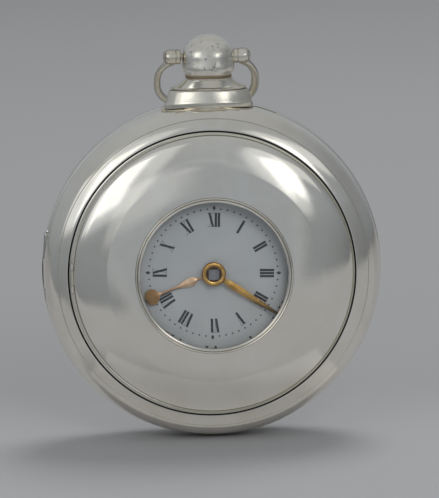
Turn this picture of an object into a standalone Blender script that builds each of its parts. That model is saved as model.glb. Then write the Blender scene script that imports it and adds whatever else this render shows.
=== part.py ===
"""Half hunter pocket watch: an outer case with a ring bezel, an inner case with a hinged front cover and
a small glazed aperture, and a key-wound chain-driven verge movement. Metres, upright, dial towards -Y."""
import bpy
from math import acos, atan2, copysign, cos, pi, radians, sin, sqrt, tau
from mathutils import Vector

# Clearances
FIT = 0.0001            # between two pieces that touch
RUNNING = 0.00015       # between two pieces that pass each other
OVERRUN = 0.0006        # how far a cutter runs past what it cuts
SINK = 0.0003           # how deep a web runs into the body it is fused to

# Outer case
CASE_R = 0.0285
CASE_WALL = 0.0008
CASE_DEPTH = 0.0105     # seam plane to the flat of the back
CASE_BAND = 0.0012      # straight band behind the seam
BACK_FLAT_R = 0.009
BOWL_POWER = 2.6
BEZEL_WIDTH = 0.0041
BEZEL_OPENING_R = CASE_R - BEZEL_WIDTH
BEZEL_RISE = 0.0052
BEZEL_WALL = 0.0007
BEZEL_LINE_INSET = 0.00225
BEZEL_LINE_R = CASE_R - BEZEL_LINE_INSET
BEZEL_LINE_DEPTH = 0.00012
BEZEL_OPEN = radians(105)
SEAM = 0.00008          # half of the line between back and bezel
NAIL_START = radians(15)
NAIL_END = radians(24)
NAIL_DEPTH = 0.0004
NAIL_HEIGHT = 0.0004

# Outer hinge, at nine o'clock
HINGE_INSET = 0.0005
HINGE_X = HINGE_INSET - CASE_R
HINGE_R = 0.00075
HINGE_SEAT_R = 0.00095
HINGE_LENGTH = 0.0156
HINGE_MIDDLE = 0.0052
HINGE_PIN_R = 0.00028
HINGE_WEB = 0.0007
HINGE_WEB_REACH = 0.0013

# Inner case
CASE_ROOM = 0.0009      # between the outer case's wall and the inner case
INNER_R = CASE_R - CASE_WALL - CASE_ROOM
INNER_WALL = 0.0006
INNER_RIM_COVERED = 0.0005
INNER_RIM_R = BEZEL_OPENING_R + INNER_RIM_COVERED
LIP_ROOM = 0.0002       # between the bezel's lip and the inner case
INNER_RIM_F = BEZEL_RISE - BEZEL_WALL - LIP_ROOM
INNER_RIM_WIDTH = 0.0012
INNER_MOUTH_R = INNER_RIM_R - INNER_RIM_WIDTH
INNER_LEDGE_WIDTH = 0.0008
INNER_LEDGE_R = INNER_MOUTH_R - INNER_LEDGE_WIDTH
INNER_LEDGE_DROP = 0.00135
INNER_LEDGE_F = INNER_RIM_F - INNER_LEDGE_DROP
INNER_LEDGE_T = 0.00035
INNER_SHOULDER_INSET = 0.0009
INNER_SHOULDER_DROP = 0.0013
INNER_SWELL_INSET = 0.0002
INNER_SWELL_F = 0.0015
INNER_RIM_FOOT_INSET = 0.0018
INNER_RIM_FOOT_DROP = 0.0023
WINDING_HOLE_R = 0.0013

# Half hunter cover
COVER_ROOM = 0.0002     # between the cover's edge and the bezel's lip
COVER_R = BEZEL_OPENING_R - COVER_ROOM
COVER_RIM_T = 0.0010
COVER_RIM_F = INNER_RIM_F + COVER_RIM_T
COVER_RIM_CHAMFER = 0.0001
COVER_RIM_WIDTH = 0.0005
COVER_LINE_R = COVER_R - COVER_RIM_WIDTH
COVER_T = 0.0006
COVER_LIP = 0.0009      # width of the cover's rim
COVER_RISE = 0.0020     # from the rim to the crown of the dome
COVER_OPEN = radians(100)
COVER_POWER = 2.3
APERTURE_R = 0.0133
COVER_CROWN_WIDTH = 0.0019
COVER_CROWN_R = APERTURE_R + COVER_CROWN_WIDTH
RIM_T = 0.0009
RIM_HEIGHT = 0.0011
RIM_PROUD = 0.0002
RIM_LIP = 0.0003
GLASS_T = 0.00028
GLASS_INSET = 0.0007
GLASS_R = APERTURE_R - GLASS_INSET

# Cover hinge
LID_HINGE_INSET = 0.0003
LID_HINGE_X = LID_HINGE_INSET - COVER_R
LID_HINGE_DROP = 0.00005
LID_HINGE_F = COVER_RIM_F - LID_HINGE_DROP
LID_HINGE_R = 0.00028
LID_HINGE_LENGTH = 0.0050
LID_HINGE_MIDDLE = 0.0024
LID_PIN_R = 0.00011
LID_PIN_PLAY = 0.00006
LID_LUG_W = 0.0004
LID_LUG_FOOT = 0.0007
LID_SEAT = 0.00044

# Pendant and bow
STEM_R = 0.0026
STEM_FOOT = INNER_R + RUNNING
COLLAR_ROOM = 0.0002
COLLAR_FOOT = CASE_R + COLLAR_ROOM
COLLAR_HEIGHT = 0.0031
COLLAR_TOP = COLLAR_FOOT + COLLAR_HEIGHT
COLLAR_FOOT_R = 0.0071
COLLAR_WAIST_R = 0.00655
COLLAR_TOP_R = 0.0062
COLLAR_DEPTH_SHARE = 0.68
SHOULDER_HEIGHT = 0.00095
SHOULDER_TOP = COLLAR_TOP + SHOULDER_HEIGHT
NECK_R = 0.00375
NECK_T = 0.00085
BALL_R = 0.0042
BALL_RISE = 0.0035
BALL_SIDE = 0.0025
BALL_STAND = 0.00395
BALL_CENTRE = SHOULDER_TOP + BALL_STAND
BOW_DROP = 0.0004
BOW_PIVOT = BALL_CENTRE - BOW_DROP
BOW_LENGTH = 0.0115
BOW_HALF_WIDTH = 0.0083
BOW_POWER = 2.5
BOW_WIRE_R = 0.00048
BOW_REST = radians(38)
KNUCKLE_R = 0.0012
KNUCKLE_SINK_SHARE = 0.7
KNUCKLE_ROOM = 0.0002
KNUCKLE_START = BALL_R + KNUCKLE_ROOM
KNUCKLE_LENGTH = 0.0026
KNUCKLE_END = KNUCKLE_START + KNUCKLE_LENGTH
SCREW_R = 0.00055
SCREW_START = 0.0012
SCREW_HEAD_R = 0.0010
SCREW_HEAD_T = 0.0003
SCREW_SLOT = 0.0003

# Dial and hands
EDGE_R = INNER_MOUTH_R - RUNNING
EDGE_WIDTH = 0.00205
DIAL_R = EDGE_R - EDGE_WIDTH
PLATE_INSET = 0.0025
PLATE_R = DIAL_R - PLATE_INSET
PLATE_DROP = 0.00105
PLATE_FRONT = INNER_LEDGE_F - PLATE_DROP
DIAL_T = 0.0008
DIAL_STAND = 0.0012
DIAL_BACK = PLATE_FRONT + DIAL_STAND
DIAL_CROWN = 0.0002
DIAL_HOLE_R = 0.00125
EDGE_SEAT = 0.0010
EDGE_BORE_R = PLATE_R - EDGE_SEAT
HAND_T = 0.0003
HOUR_HAND_ROOM = 0.0005
HOUR_HAND_F = DIAL_BACK + DIAL_T + HOUR_HAND_ROOM
MINUTE_HAND_ROOM = 0.0004
MINUTE_HAND_F = HOUR_HAND_F + HAND_T + MINUTE_HAND_ROOM
HOUR_ANGLE = radians(250)
MINUTE_ANGLE = radians(123.7)
HOUR_HUB_R = 0.0016
HOUR_LEAF_START = 0.0034
HOUR_LEAF_END = 0.0076
HOUR_LEAF_HALF = 0.00075
HOUR_NECK_HALF = 0.0002
HOUR_TIP_R = APERTURE_R - FIT
HOUR_TIP_REACH = 0.0024
HOUR_SPADE_R = HOUR_TIP_R - HOUR_TIP_REACH
HOUR_SPADE_HALF = 0.00125
MINUTE_HUB_R = 0.00205
MINUTE_HUB_T = 0.00055
MINUTE_RECESS_R = 0.00135
MINUTE_HALF = 0.00055
MINUTE_WIDEST_R = 0.0048
MINUTE_TIP_REACH = 0.0017
MINUTE_TIP_R = APERTURE_R + MINUTE_TIP_REACH
MINUTE_TIP_HALF = 0.00012
SETTING_SQUARE = 0.0017
SETTING_HEIGHT = 0.0009
SETTING_TOP = MINUTE_HAND_F + SETTING_HEIGHT

def bowl(flat_r, rim_r, band, depth, count):
    """Points of a bun-shaped back from its rim to the edge of its flat."""
    power_share = 2 / BOWL_POWER
    points = []
    for i in range(count + 1):
        a = pi / 2 * i / count
        r = flat_r + (rim_r - flat_r) * max(cos(a), 0) ** power_share
        points.append((r, -(band + (depth - band) * sin(a) ** power_share)))
    return points


def bowl_level(points, r):
    """How far forward the bowl through the points lies at a radius."""
    for (r1, f1), (r2, f2) in zip(points, points[1:]):
        if r2 <= r <= r1:
            return f1 + (f2 - f1) * (r1 - r) / (r1 - r2)
    return points[-1][1]


# Dust cap and plates
BOWL_POINTS = 6
CAP_T = 0.00025
seat_depth = CASE_DEPTH - CASE_WALL
inner_depth = seat_depth - RUNNING
inner_floor = inner_depth - INNER_WALL
inner_bowl = bowl(BACK_FLAT_R, INNER_R - INNER_WALL, CASE_BAND, inner_floor, BOWL_POINTS - 1)
CAP_BACK_ROOM = 0.00035
CAP_BACK_F = CAP_BACK_ROOM - inner_floor
CAP_ROOM = 0.0006
CAP_R = PLATE_R + CAP_ROOM
CAP_FLAT_SHARE = 0.566  # of the way from the case's flat to the cap's edge
CAP_FLAT_R = BACK_FLAT_R + CAP_FLAT_SHARE * (CAP_R - BACK_FLAT_R)
CAP_SIDE_ROOM = 0.00005
CAP_SHOULDER_F = bowl_level(inner_bowl, CAP_R) + CAP_SIDE_ROOM
COCK_ROOM = 0.00012     # between the cock's back and the dust cap's shoulder
COCK_T = 0.0004
BALANCE_T = 0.0005
BALANCE_ROOM = 0.0004
TOP_PLATE_T = 0.0009
PLATE_T = 0.0010
plate_back = PLATE_FRONT - PLATE_T
cock_back = CAP_SHOULDER_F + CAP_T / 2 + COCK_ROOM
COCK_FRONT = cock_back + COCK_T
balance_back = COCK_FRONT + RUNNING
BALANCE_FRONT = balance_back + BALANCE_T
top_back = BALANCE_FRONT + BALANCE_ROOM
top_front = top_back + TOP_PLATE_T
PLATE_GAP = plate_back - top_front
CAP_OVERLAP = 0.0004    # how far the cap's rim comes over the top plate
CAP_RIM_F = top_front + CAP_OVERLAP

# The movement is drawn for this plate and gap, and follows the case's
DRAWN_PLATE_R = 0.0190
DRAWN_GAP = 0.0062
DRAWN_PILLAR_INSET = 0.0018
DRAWN_GREAT_MODULE = 0.0003
DRAWN_CENTRE_MODULE = 0.0002
DRAWN_THIRD_MODULE = 0.00019
DRAWN_FUSEE_X = 0.0069
DRAWN_CENTRE_DROP = 0.0004
DRAWN_CENTRE_T = 0.0004
DRAWN_CENTRE_PINION_ROOM = 0.0002
DRAWN_GREAT_ROOM = 0.0003
DRAWN_GREAT_T = 0.0006
DRAWN_CENTRE_PINION_T = 0.0012
DRAWN_THIRD_ROOM = 0.0002
DRAWN_THIRD_T = 0.0004
DRAWN_LEAF_OVERLAP = 0.0002
DRAWN_BARREL_X = -0.0102
DRAWN_BARREL_Y = 0.0059
DRAWN_BARREL_R = 0.0058
DRAWN_BARREL_END_ROOM = 0.0003
DRAWN_BARREL_BACK_ROOM = 0.0006
DRAWN_BARREL_CAP_T = 0.0004
DRAWN_BARREL_ARBOR_R = 0.0016
DRAWN_FUSEE_BIG_R = 0.0052
DRAWN_FUSEE_SMALL_R = 0.0030
DRAWN_FUSEE_ROOM = 0.0002
DRAWN_FUSEE_BACK_ROOM = 0.0004
DRAWN_CHAIN_WIDTH = 0.0007
DRAWN_CHAIN_DROP = 0.0014
DRAWN_CONTRATE_R = 0.0040
DRAWN_CONTRATE_RING = 0.00045
DRAWN_CONTRATE_ROOM = 0.0004
DRAWN_CONTRATE_T = 0.0003
DRAWN_CROWN_DROP = 0.00145
DRAWN_CROWN_R = 0.00135
DRAWN_CROWN_WALL = 0.0003
DRAWN_VERGE_ROOM = 0.00346
DRAWN_PALLET_HEIGHT = 0.0004
DRAWN_BALANCE_R = 0.0072
DRAWN_HAIRSPRING_IN_R = 0.0013
DRAWN_HAIRSPRING_OUT_R = 0.0040
DRAWN_COCK_R = 0.0062
DRAWN_REGULATOR_R = 0.0030
DRAWN_REGULATOR_X = 0.0052
DRAWN_REGULATOR_Y = -0.0120
DRAWN_BEARING_WIDTH = 0.0012
DRAWN_CROWN_DEPTH = 0.0006
DRAWN_CROWN_TOOTH = 0.0005
DRAWN_CROWN_PINION_LENGTH = 0.0008
DRAWN_BEARING_T = 0.0004
DRAWN_POTENCE_LENGTH = 0.0010
DRAWN_PALLET_LENGTH = 0.0007
DRAWN_POTENCE_ROOM = 0.00064
DRAWN_POTENCE_RISE = 0.00173
DRAWN_POTENCE_FOOT_T = 0.00028
plan_share = PLATE_R / DRAWN_PLATE_R
rise_share = PLATE_GAP / DRAWN_GAP
PILLAR_INSET = plan_share * DRAWN_PILLAR_INSET
PILLAR_RING_R = PLATE_R - PILLAR_INSET
PILLAR_R = 0.0011
PILLAR_WAIST_R = 0.0008
PILLAR_STUB_R = 0.00055
PILLAR_STUB = 0.00055   # how far the stub stands behind the top plate
PIN_R = 0.00016
PIN_LENGTH = 0.0024
PILLAR_ANGLES = (radians(95), radians(355), radians(285), radians(215))

# Train
ADDENDUM_SHARE = 0.8
LEAF_ADDENDUM_SHARE = 0.35
DEDENDUM_SHARE = 1.15
WHEEL_FOOT_SHARE = 0.46
WHEEL_TIP_SHARE = 0.15
LEAF_FOOT_SHARE = 0.34
LEAF_TIP_SHARE = 0.18
CROWN_SLANT_SHARE = 0.15
GREAT_TEETH = 48
CENTRE_LEAVES = 12
GREAT_MODULE = plan_share * DRAWN_GREAT_MODULE
CENTRE_TEETH = 54
THIRD_LEAVES = 6
CENTRE_MODULE = plan_share * DRAWN_CENTRE_MODULE
THIRD_TEETH = 48
CONTRATE_LEAVES = 6
THIRD_MODULE = plan_share * DRAWN_THIRD_MODULE
MINUTE_TEETH = 30
CANNON_LEAVES = 10
HOUR_TEETH = 32
MINUTE_LEAVES = 8
MOTION_MODULE = 0.0002
FUSEE_X = plan_share * DRAWN_FUSEE_X
THIRD_TURN = radians(235)
CONTRATE_TURN = radians(350)
MOTION_TURN = radians(300)
ARBOR_R = 0.0003
PIVOT_R = 0.00022
CENTRE_ARBOR_R = 0.0004
CENTRE_DROP = rise_share * DRAWN_CENTRE_DROP
CENTRE_FRONT = plate_back - CENTRE_DROP
CENTRE_T = rise_share * DRAWN_CENTRE_T
CENTRE_PINION_ROOM = rise_share * DRAWN_CENTRE_PINION_ROOM
CENTRE_PINION_FRONT = CENTRE_FRONT - CENTRE_T - CENTRE_PINION_ROOM
GREAT_ROOM = rise_share * DRAWN_GREAT_ROOM
GREAT_FRONT = CENTRE_PINION_FRONT - GREAT_ROOM
GREAT_T = rise_share * DRAWN_GREAT_T
CENTRE_PINION_T = rise_share * DRAWN_CENTRE_PINION_T
THIRD_ROOM = rise_share * DRAWN_THIRD_ROOM
THIRD_FRONT = CENTRE_PINION_FRONT - CENTRE_PINION_T - THIRD_ROOM
THIRD_T = rise_share * DRAWN_THIRD_T
LEAF_OVERLAP = rise_share * DRAWN_LEAF_OVERLAP
MOTION_T = 0.00035
MOTION_FRONT = PLATE_FRONT + MOTION_T + FIT
MOTION_STEP = 0.00045
CANNON_R = 0.00075
HOUR_PIPE_R = 0.00105

# Barrel, fusee and chain
BARREL_X = plan_share * DRAWN_BARREL_X
BARREL_Y = plan_share * DRAWN_BARREL_Y
BARREL_R = plan_share * DRAWN_BARREL_R
BARREL_WALL = 0.0004
BARREL_END_ROOM = rise_share * DRAWN_BARREL_END_ROOM
BARREL_FRONT = plate_back - BARREL_END_ROOM
BARREL_BACK_ROOM = rise_share * DRAWN_BARREL_BACK_ROOM
barrel_back = top_front + BARREL_BACK_ROOM
BARREL_CAP_T = rise_share * DRAWN_BARREL_CAP_T
BARREL_ARBOR_R = plan_share * DRAWN_BARREL_ARBOR_R
BARREL_PIVOT_R = 0.0006
SPRING_TURNS = 5
SPRING_STEPS = 12
SPRING_T = 0.00018
FUSEE_BIG_R = plan_share * DRAWN_FUSEE_BIG_R
FUSEE_SMALL_R = plan_share * DRAWN_FUSEE_SMALL_R
FUSEE_ROOM = rise_share * DRAWN_FUSEE_ROOM
FUSEE_FRONT = GREAT_FRONT - GREAT_T - FUSEE_ROOM
FUSEE_BACK_ROOM = rise_share * DRAWN_FUSEE_BACK_ROOM
FUSEE_LENGTH = FUSEE_FRONT - top_front - FUSEE_BACK_ROOM
FUSEE_GROOVES = 4
FUSEE_GROOVE = 0.00018
FUSEE_SQUARE = 0.0012
FUSEE_SQUARE_LENGTH = 0.0018
FUSEE_SQUARE_END = top_back - FUSEE_SQUARE_LENGTH
CHAIN_T = 0.0003
CHAIN_WIDTH = rise_share * DRAWN_CHAIN_WIDTH
CHAIN_DROP = rise_share * DRAWN_CHAIN_DROP
CHAIN_FRONT = FUSEE_FRONT - CHAIN_DROP

# Contrate wheel, crown wheel, verge and balance
CONTRATE_TEETH = 30
CONTRATE_R = plan_share * DRAWN_CONTRATE_R
CONTRATE_RING = plan_share * DRAWN_CONTRATE_RING
CONTRATE_ROOM = rise_share * DRAWN_CONTRATE_ROOM
CONTRATE_FRONT = THIRD_FRONT - THIRD_T - CONTRATE_ROOM
CONTRATE_T = rise_share * DRAWN_CONTRATE_T
CROWN_TEETH = 15
CROWN_LEAVES = 6
CROWN_DROP = rise_share * DRAWN_CROWN_DROP
CROWN_LEVEL = CONTRATE_FRONT - CROWN_DROP
CROWN_R = rise_share * DRAWN_CROWN_R
CROWN_WALL = rise_share * DRAWN_CROWN_WALL
CROWN_WEB = 0.0003
CROWN_DEPTH = plan_share * DRAWN_CROWN_DEPTH
CROWN_TOOTH = plan_share * DRAWN_CROWN_TOOTH
CROWN_PINION_LENGTH = plan_share * DRAWN_CROWN_PINION_LENGTH
CROWN_MESH_SHARE = 0.5   # of the module, by which a tooth passes the pitch line
VERGE_ROOM = plan_share * DRAWN_VERGE_ROOM
VERGE_REACH = CONTRATE_R + VERGE_ROOM   # from the contrate wheel's centre to the verge
VERGE_R = 0.00022
VERGE_WAY_SHARES = (-0.94, -0.34)     # the way from the contrate wheel to the verge
PALLET_LENGTH = plan_share * DRAWN_PALLET_LENGTH
PALLET_HEIGHT = rise_share * DRAWN_PALLET_HEIGHT
PALLET_T = 0.00015
BALANCE_R = plan_share * DRAWN_BALANCE_R
BALANCE_RIM = 0.0006
BALANCE_HUB_R = 0.0009
BALANCE_SPOKE = 0.0007
BALANCE_SPOKES = 3
SPOKE_SHARE = 0.2       # of the balance's thickness, between spoke and rim
HAIRSPRING_TURNS = 3
HAIRSPRING_STEPS = 16
HAIRSPRING_IN_R = plan_share * DRAWN_HAIRSPRING_IN_R
HAIRSPRING_OUT_R = plan_share * DRAWN_HAIRSPRING_OUT_R
HAIRSPRING_T = 0.00012
HAIRSPRING_FRONT = top_back - FIT
HAIRSPRING_HEIGHT = 0.00015
COCK_R = plan_share * DRAWN_COCK_R
COCK_FOOT_ROOM = 0.0002
COCK_FOOT_START = BALANCE_R + COCK_FOOT_ROOM
COCK_FOOT_LENGTH = 0.0013
COCK_FOOT_WIDTH = 0.0044
COCK_SCREW_R = 0.00035
COCK_SCREW_HEAD_R = 0.00055
COCK_SCREW_HEAD_T = 0.0003
REGULATOR_R = plan_share * DRAWN_REGULATOR_R
REGULATOR_T = 0.0003
REGULATOR_X = plan_share * DRAWN_REGULATOR_X
REGULATOR_Y = plan_share * DRAWN_REGULATOR_Y
BEARING_SHARE = 0.25    # of the contrate wheel's radius, where the inner post stands
BEARING_T = plan_share * DRAWN_BEARING_T
BEARING_WIDTH = rise_share * DRAWN_BEARING_WIDTH
POTENCE_ROOM = plan_share * DRAWN_POTENCE_ROOM
POTENCE_START = VERGE_REACH + POTENCE_ROOM
POTENCE_LENGTH = plan_share * DRAWN_POTENCE_LENGTH
POTENCE_WIDTH = 0.0016
POTENCE_RISE = rise_share * DRAWN_POTENCE_RISE
POTENCE_FOOT = CROWN_LEVEL + POTENCE_RISE
POTENCE_FOOT_T = rise_share * DRAWN_POTENCE_FOOT_T

# Facets
LARGE_STEPS = 48
INNER_STEPS = 40
MEDIUM_STEPS = 24
SMALL_STEPS = 12
FINE_STEPS = 8
LIP_POINTS = 3
BALL_POINTS = 8
NAIL_STEPS = 4
BOW_STEPS = 22
CHAIN_STEPS = 12
MERGE = 0.000001
SMOOTH_ANGLE = radians(35)

for old in list(bpy.data.objects):
    bpy.data.objects.remove(old, do_unlink=True)

# Materials: base colour, roughness, metallic
LOOKS = {
    "silver": ((0.80, 0.78, 0.75), 0.18, 1.0),
    "silver_dull": ((0.62, 0.60, 0.57), 0.35, 1.0),
    "gold": ((0.83, 0.55, 0.22), 0.28, 1.0),
    "copper_gold": ((0.74, 0.42, 0.24), 0.32, 1.0),
    "gilt": ((0.78, 0.60, 0.30), 0.35, 1.0),
    "brass": ((0.72, 0.56, 0.28), 0.30, 1.0),
    "steel": ((0.55, 0.56, 0.58), 0.30, 1.0),
    "blued_steel": ((0.08, 0.12, 0.30), 0.30, 1.0),
    "enamel": ((0.86, 0.89, 0.92), 0.20, 0.0),
    "crystal": ((0.95, 0.97, 0.97), 0.03, 0.0),
}


def material(node, look):
    colour, roughness, metallic = LOOKS[look]
    made = bpy.data.materials.new(node)
    made.use_nodes = True
    shader = made.node_tree.nodes["Principled BSDF"]
    shader.inputs["Base Color"].default_value = (*colour, 1.0)
    shader.inputs["Roughness"].default_value = roughness
    shader.inputs["Metallic"].default_value = metallic
    if look == "crystal":
        shader.inputs["Transmission Weight"].default_value = 1.0
    return made


def empty(name, place, parent):
    marker = bpy.data.objects.new(name, None)
    bpy.context.scene.collection.objects.link(marker)
    marker.location = place
    marker.parent = parent
    return marker


# The watch's own axes: X to the right, Y to the pendant, Z towards the reader
watch = empty("watch", (0, -CASE_DEPTH, 0), None)
watch.rotation_euler = (pi / 2, 0, 0)


def add(name, mesh, look, place=(0, 0, 0), turn=(0, 0, 0), parent=watch):
    thing = bpy.data.objects.new(name, mesh)
    bpy.context.scene.collection.objects.link(thing)
    thing.location = place
    thing.rotation_euler = turn
    thing.parent = parent
    if look:
        mesh.materials.append(material(name, look))
    return thing


def shade(mesh):
    mesh.shade_smooth()
    mesh.set_sharp_from_angle(angle=SMOOTH_ANGLE)


def turned(name, profile, look, steps, place=(0, 0, 0), turn=(0, 0, 0), parent=watch):
    """A body turned about Z from (radius, height) points that run down its outer side."""
    mesh = bpy.data.meshes.new(name)
    points = [(r, 0, h) for r, h in profile]
    closed = profile[0][0] > 0
    edges = [(i, i + 1) for i in range(len(points) - 1)]
    if closed:
        edges.append((len(points) - 1, 0))
    mesh.from_pydata(points, edges, [])
    thing = add(name, mesh, look, place, turn, parent)
    screw = thing.modifiers.new("turned", 'SCREW')
    screw.steps = steps
    screw.render_steps = steps
    screw.use_merge_vertices = True
    screw.merge_threshold = MERGE
    screw.use_smooth_shade = False
    return thing


def oval(name, rings, look, steps, place=(0, 0, 0), turn=(0, 0, 0), parent=watch):
    """A body of oval rings, from top to bottom; a ring holds its half width, depth share and height."""
    mesh = bpy.data.meshes.new(name)
    points = [(r * cos(tau * i / steps), r * share * sin(tau * i / steps), h)
              for r, share, h in rings for i in range(steps)]
    faces = [tuple(range(steps)), tuple(reversed(range((len(rings) - 1) * steps, len(rings) * steps)))]
    for k in range(len(rings) - 1):
        for i in range(steps):
            after = (i + 1) % steps
            faces.append((k * steps + after, k * steps + i, (k + 1) * steps + i, (k + 1) * steps + after))
    mesh.from_pydata(points, [], faces)
    shade(mesh)
    return add(name, mesh, look, place, turn, parent)


def prism(name, outline, low, high, look, place=(0, 0, 0), turn=(0, 0, 0), parent=watch):
    """An outline, anticlockwise, carried from one height to another."""
    mesh = bpy.data.meshes.new(name)
    count = len(outline)
    points = [(x, y, low) for x, y in outline] + [(x, y, high) for x, y in outline]
    faces = [tuple(reversed(range(count))), tuple(range(count, 2 * count))]
    for i in range(count):
        after = (i + 1) % count
        faces.append((i, after, count + after, count + i))
    mesh.from_pydata(points, [], faces)
    shade(mesh)
    return add(name, mesh, look, place, turn, parent)


def ribbon(name, path, thickness, low, high, look, place=(0, 0, 0), parent=watch):
    """A strip that follows a flat path and keeps one thickness."""
    outer, inner = [], []
    for i, point in enumerate(path):
        before = path[max(i - 1, 0)]
        after = path[min(i + 1, len(path) - 1)]
        along = (Vector(after) - Vector(before)).normalized()
        side = Vector((-along.y, along.x)) * thickness / 2
        outer.append(tuple(Vector(point) + side))
        inner.append(tuple(Vector(point) - side))
    mesh = bpy.data.meshes.new(name)
    points, faces = [], []
    for i in range(len(path)):
        points += [(*outer[i], low), (*inner[i], low), (*inner[i], high), (*outer[i], high)]
    for i in range(len(path) - 1):
        base = 4 * i
        for k in range(4):
            step = (k + 1) % 4
            faces.append((base + k, base + 4 + k, base + 4 + step, base + step))
    last = 4 * (len(path) - 1)
    faces.append((0, 1, 2, 3))
    faces.append((last + 3, last + 2, last + 1, last))
    mesh.from_pydata(points, [], faces)
    shade(mesh)
    return add(name, mesh, look, place, (0, 0, 0), parent)


def tube(name, path, radius, sides, look, place=(0, 0, 0), parent=watch):
    """A round wire along a path, with flat ends."""
    mesh = bpy.data.meshes.new(name)
    points, faces = [], []
    normal = Vector((0, 0, 1))
    spots = [Vector(p) for p in path]
    for i, spot in enumerate(spots):
        along = (spots[min(i + 1, len(spots) - 1)] - spots[max(i - 1, 0)]).normalized()
        across = normal.cross(along).normalized()
        up = along.cross(across)
        for k in range(sides):
            a = tau * k / sides
            points.append(tuple(spot + across * radius * cos(a) + up * radius * sin(a)))
    for i in range(len(spots) - 1):
        for k in range(sides):
            step = (k + 1) % sides
            faces.append((i * sides + k, i * sides + step, (i + 1) * sides + step, (i + 1) * sides + k))
    faces.append(tuple(reversed(range(sides))))
    faces.append(tuple((len(spots) - 1) * sides + k for k in range(sides)))
    mesh.from_pydata(points, [], faces)
    shade(mesh)
    return add(name, mesh, look, place, (0, 0, 0), parent)


def rod(name, radius, start, end, look, steps, place=(0, 0, 0), turn=(0, 0, 0), parent=watch):
    return turned(name, [(0, end), (radius, end), (radius, start), (0, start)], look, steps, place,
                  turn, parent)


def block(name, low, high, look=None, parent=watch, place=(0, 0, 0), turn=(0, 0, 0)):
    outline = [(low[0], low[1]), (high[0], low[1]), (high[0], high[1]), (low[0], high[1])]
    return prism(name, outline, low[2], high[2], look, place, turn, parent)


def boolean(target, tool, operation):
    tool.hide_render = True
    tool.display_type = 'WIRE'
    change = target.modifiers.new(tool.name, 'BOOLEAN')
    change.operation = operation
    change.object = tool
    change.solver = 'EXACT'


def cut(target, tool):
    boolean(target, tool, 'DIFFERENCE')


def fuse(target, tool):
    boolean(target, tool, 'UNION')


def gear(teeth, module, addendum_share, foot_share, tip_share, start=0.0):
    """Outline of a toothed wheel; one tooth's middle stands at the start angle."""
    pitch_r = teeth * module / 2
    foot_r = pitch_r - DEDENDUM_SHARE * module
    tip_r = pitch_r + addendum_share * module
    outline = []
    for i in range(teeth):
        corners = [(foot_r, -foot_share / 2), (tip_r, -tip_share / 2), (tip_r, tip_share / 2),
                   (foot_r, foot_share / 2)]
        if tip_share == 0:
            corners.pop(1)
        for r, side_share in corners:
            a = start + tau * (i + side_share) / teeth
            outline.append((r * cos(a), r * sin(a)))
    return outline


def wheel_outline(teeth, module, start=0.0):
    return gear(teeth, module, ADDENDUM_SHARE, WHEEL_FOOT_SHARE, 0, start)


def leaf_outline(leaves, module, start=0.0):
    return gear(leaves, module, LEAF_ADDENDUM_SHARE, LEAF_FOOT_SHARE, LEAF_TIP_SHARE, start)


def along_y(place=(0, 0, 0)):
    return dict(place=place, turn=(-pi / 2, 0, 0))


def clock(angle, r):
    """A point at an angle turned clockwise from twelve."""
    return (r * sin(angle), r * cos(angle))


# Outer case: the back
back_profile = [(CASE_R, -SEAM)] + bowl(BACK_FLAT_R, CASE_R, CASE_BAND, CASE_DEPTH, BOWL_POINTS)
back_profile += [(0, -CASE_DEPTH), (0, -seat_depth)]
back_profile += list(reversed(bowl(BACK_FLAT_R, CASE_R - CASE_WALL, CASE_BAND, seat_depth, BOWL_POINTS)))
back_profile.append((CASE_R - CASE_WALL, -SEAM))


def ring_first(profile):
    """Starts a profile that meets the axis on the axis, so that its ends close there."""
    first = next(i for i, (r, h) in enumerate(profile) if r == 0)
    return profile[first + 1:] + profile[:first + 1]


outer_back = turned("outer_case_back", ring_first(back_profile), "silver", LARGE_STEPS)
stem_notch_r = STEM_R + RUNNING + RUNNING


def stem_cutter(name):
    return rod(name, stem_notch_r, INNER_R - OVERRUN, CASE_R + OVERRUN, None, SMALL_STEPS, **along_y())


cut(outer_back, stem_cutter("back_stem_notch"))


def nail_cutter(name):
    path = []
    for i in range(NAIL_STEPS + 1):
        a = NAIL_START + (NAIL_END - NAIL_START) * i / NAIL_STEPS
        path.append(clock(a, CASE_R))
    return ribbon(name, path, 2 * NAIL_DEPTH, -NAIL_HEIGHT, 0, None)


cut(outer_back, nail_cutter("nail_notch"))

# Outer case: the bezel, built round its hinge
bezel_pivot = empty("bezel_pivot", (HINGE_X, 0, 0), watch)
bezel_place = (-HINGE_X, 0, 0)


def quarter(inner_r, outer_r, low, rise, count):
    """Points of a quarter oval from the seam up to the lip."""
    points = []
    for i in range(count + 1):
        a = pi / 2 * i / count
        points.append((inner_r + (outer_r - inner_r) * cos(a), low + (rise - low) * sin(a)))
    return points


bezel_outer = quarter(BEZEL_OPENING_R, CASE_R, SEAM, BEZEL_RISE, BOWL_POINTS)
bezel_inner = quarter(BEZEL_OPENING_R, CASE_R - BEZEL_WALL, SEAM, BEZEL_RISE - BEZEL_WALL, LIP_POINTS)


def scribed(points, r_line, depth):
    """Adds a fine turned groove where the profile passes a radius."""
    made = []
    for (r0, h0), (r1, h1) in zip(points, points[1:]):
        made.append((r0, h0))
        if min(r0, r1) < r_line < max(r0, r1):
            share = (r_line - r0) / (r1 - r0)
            h = h0 + (h1 - h0) * share
            for step in (1, 0, -1):
                side = -depth * step if r1 > r0 else depth * step
                slope = (h1 - h0) / (r1 - r0)
                made.append((r_line + side, h + side * slope - (depth if step == 0 else 0)))
    made.append(points[-1])
    return made


bezel_profile = list(reversed(scribed(bezel_outer, BEZEL_LINE_R, BEZEL_LINE_DEPTH))) + bezel_inner
outer_bezel = turned("outer_bezel", bezel_profile, "silver", LARGE_STEPS, bezel_place,
                     parent=bezel_pivot)
cut(outer_bezel, stem_cutter("bezel_stem_notch"))


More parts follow.
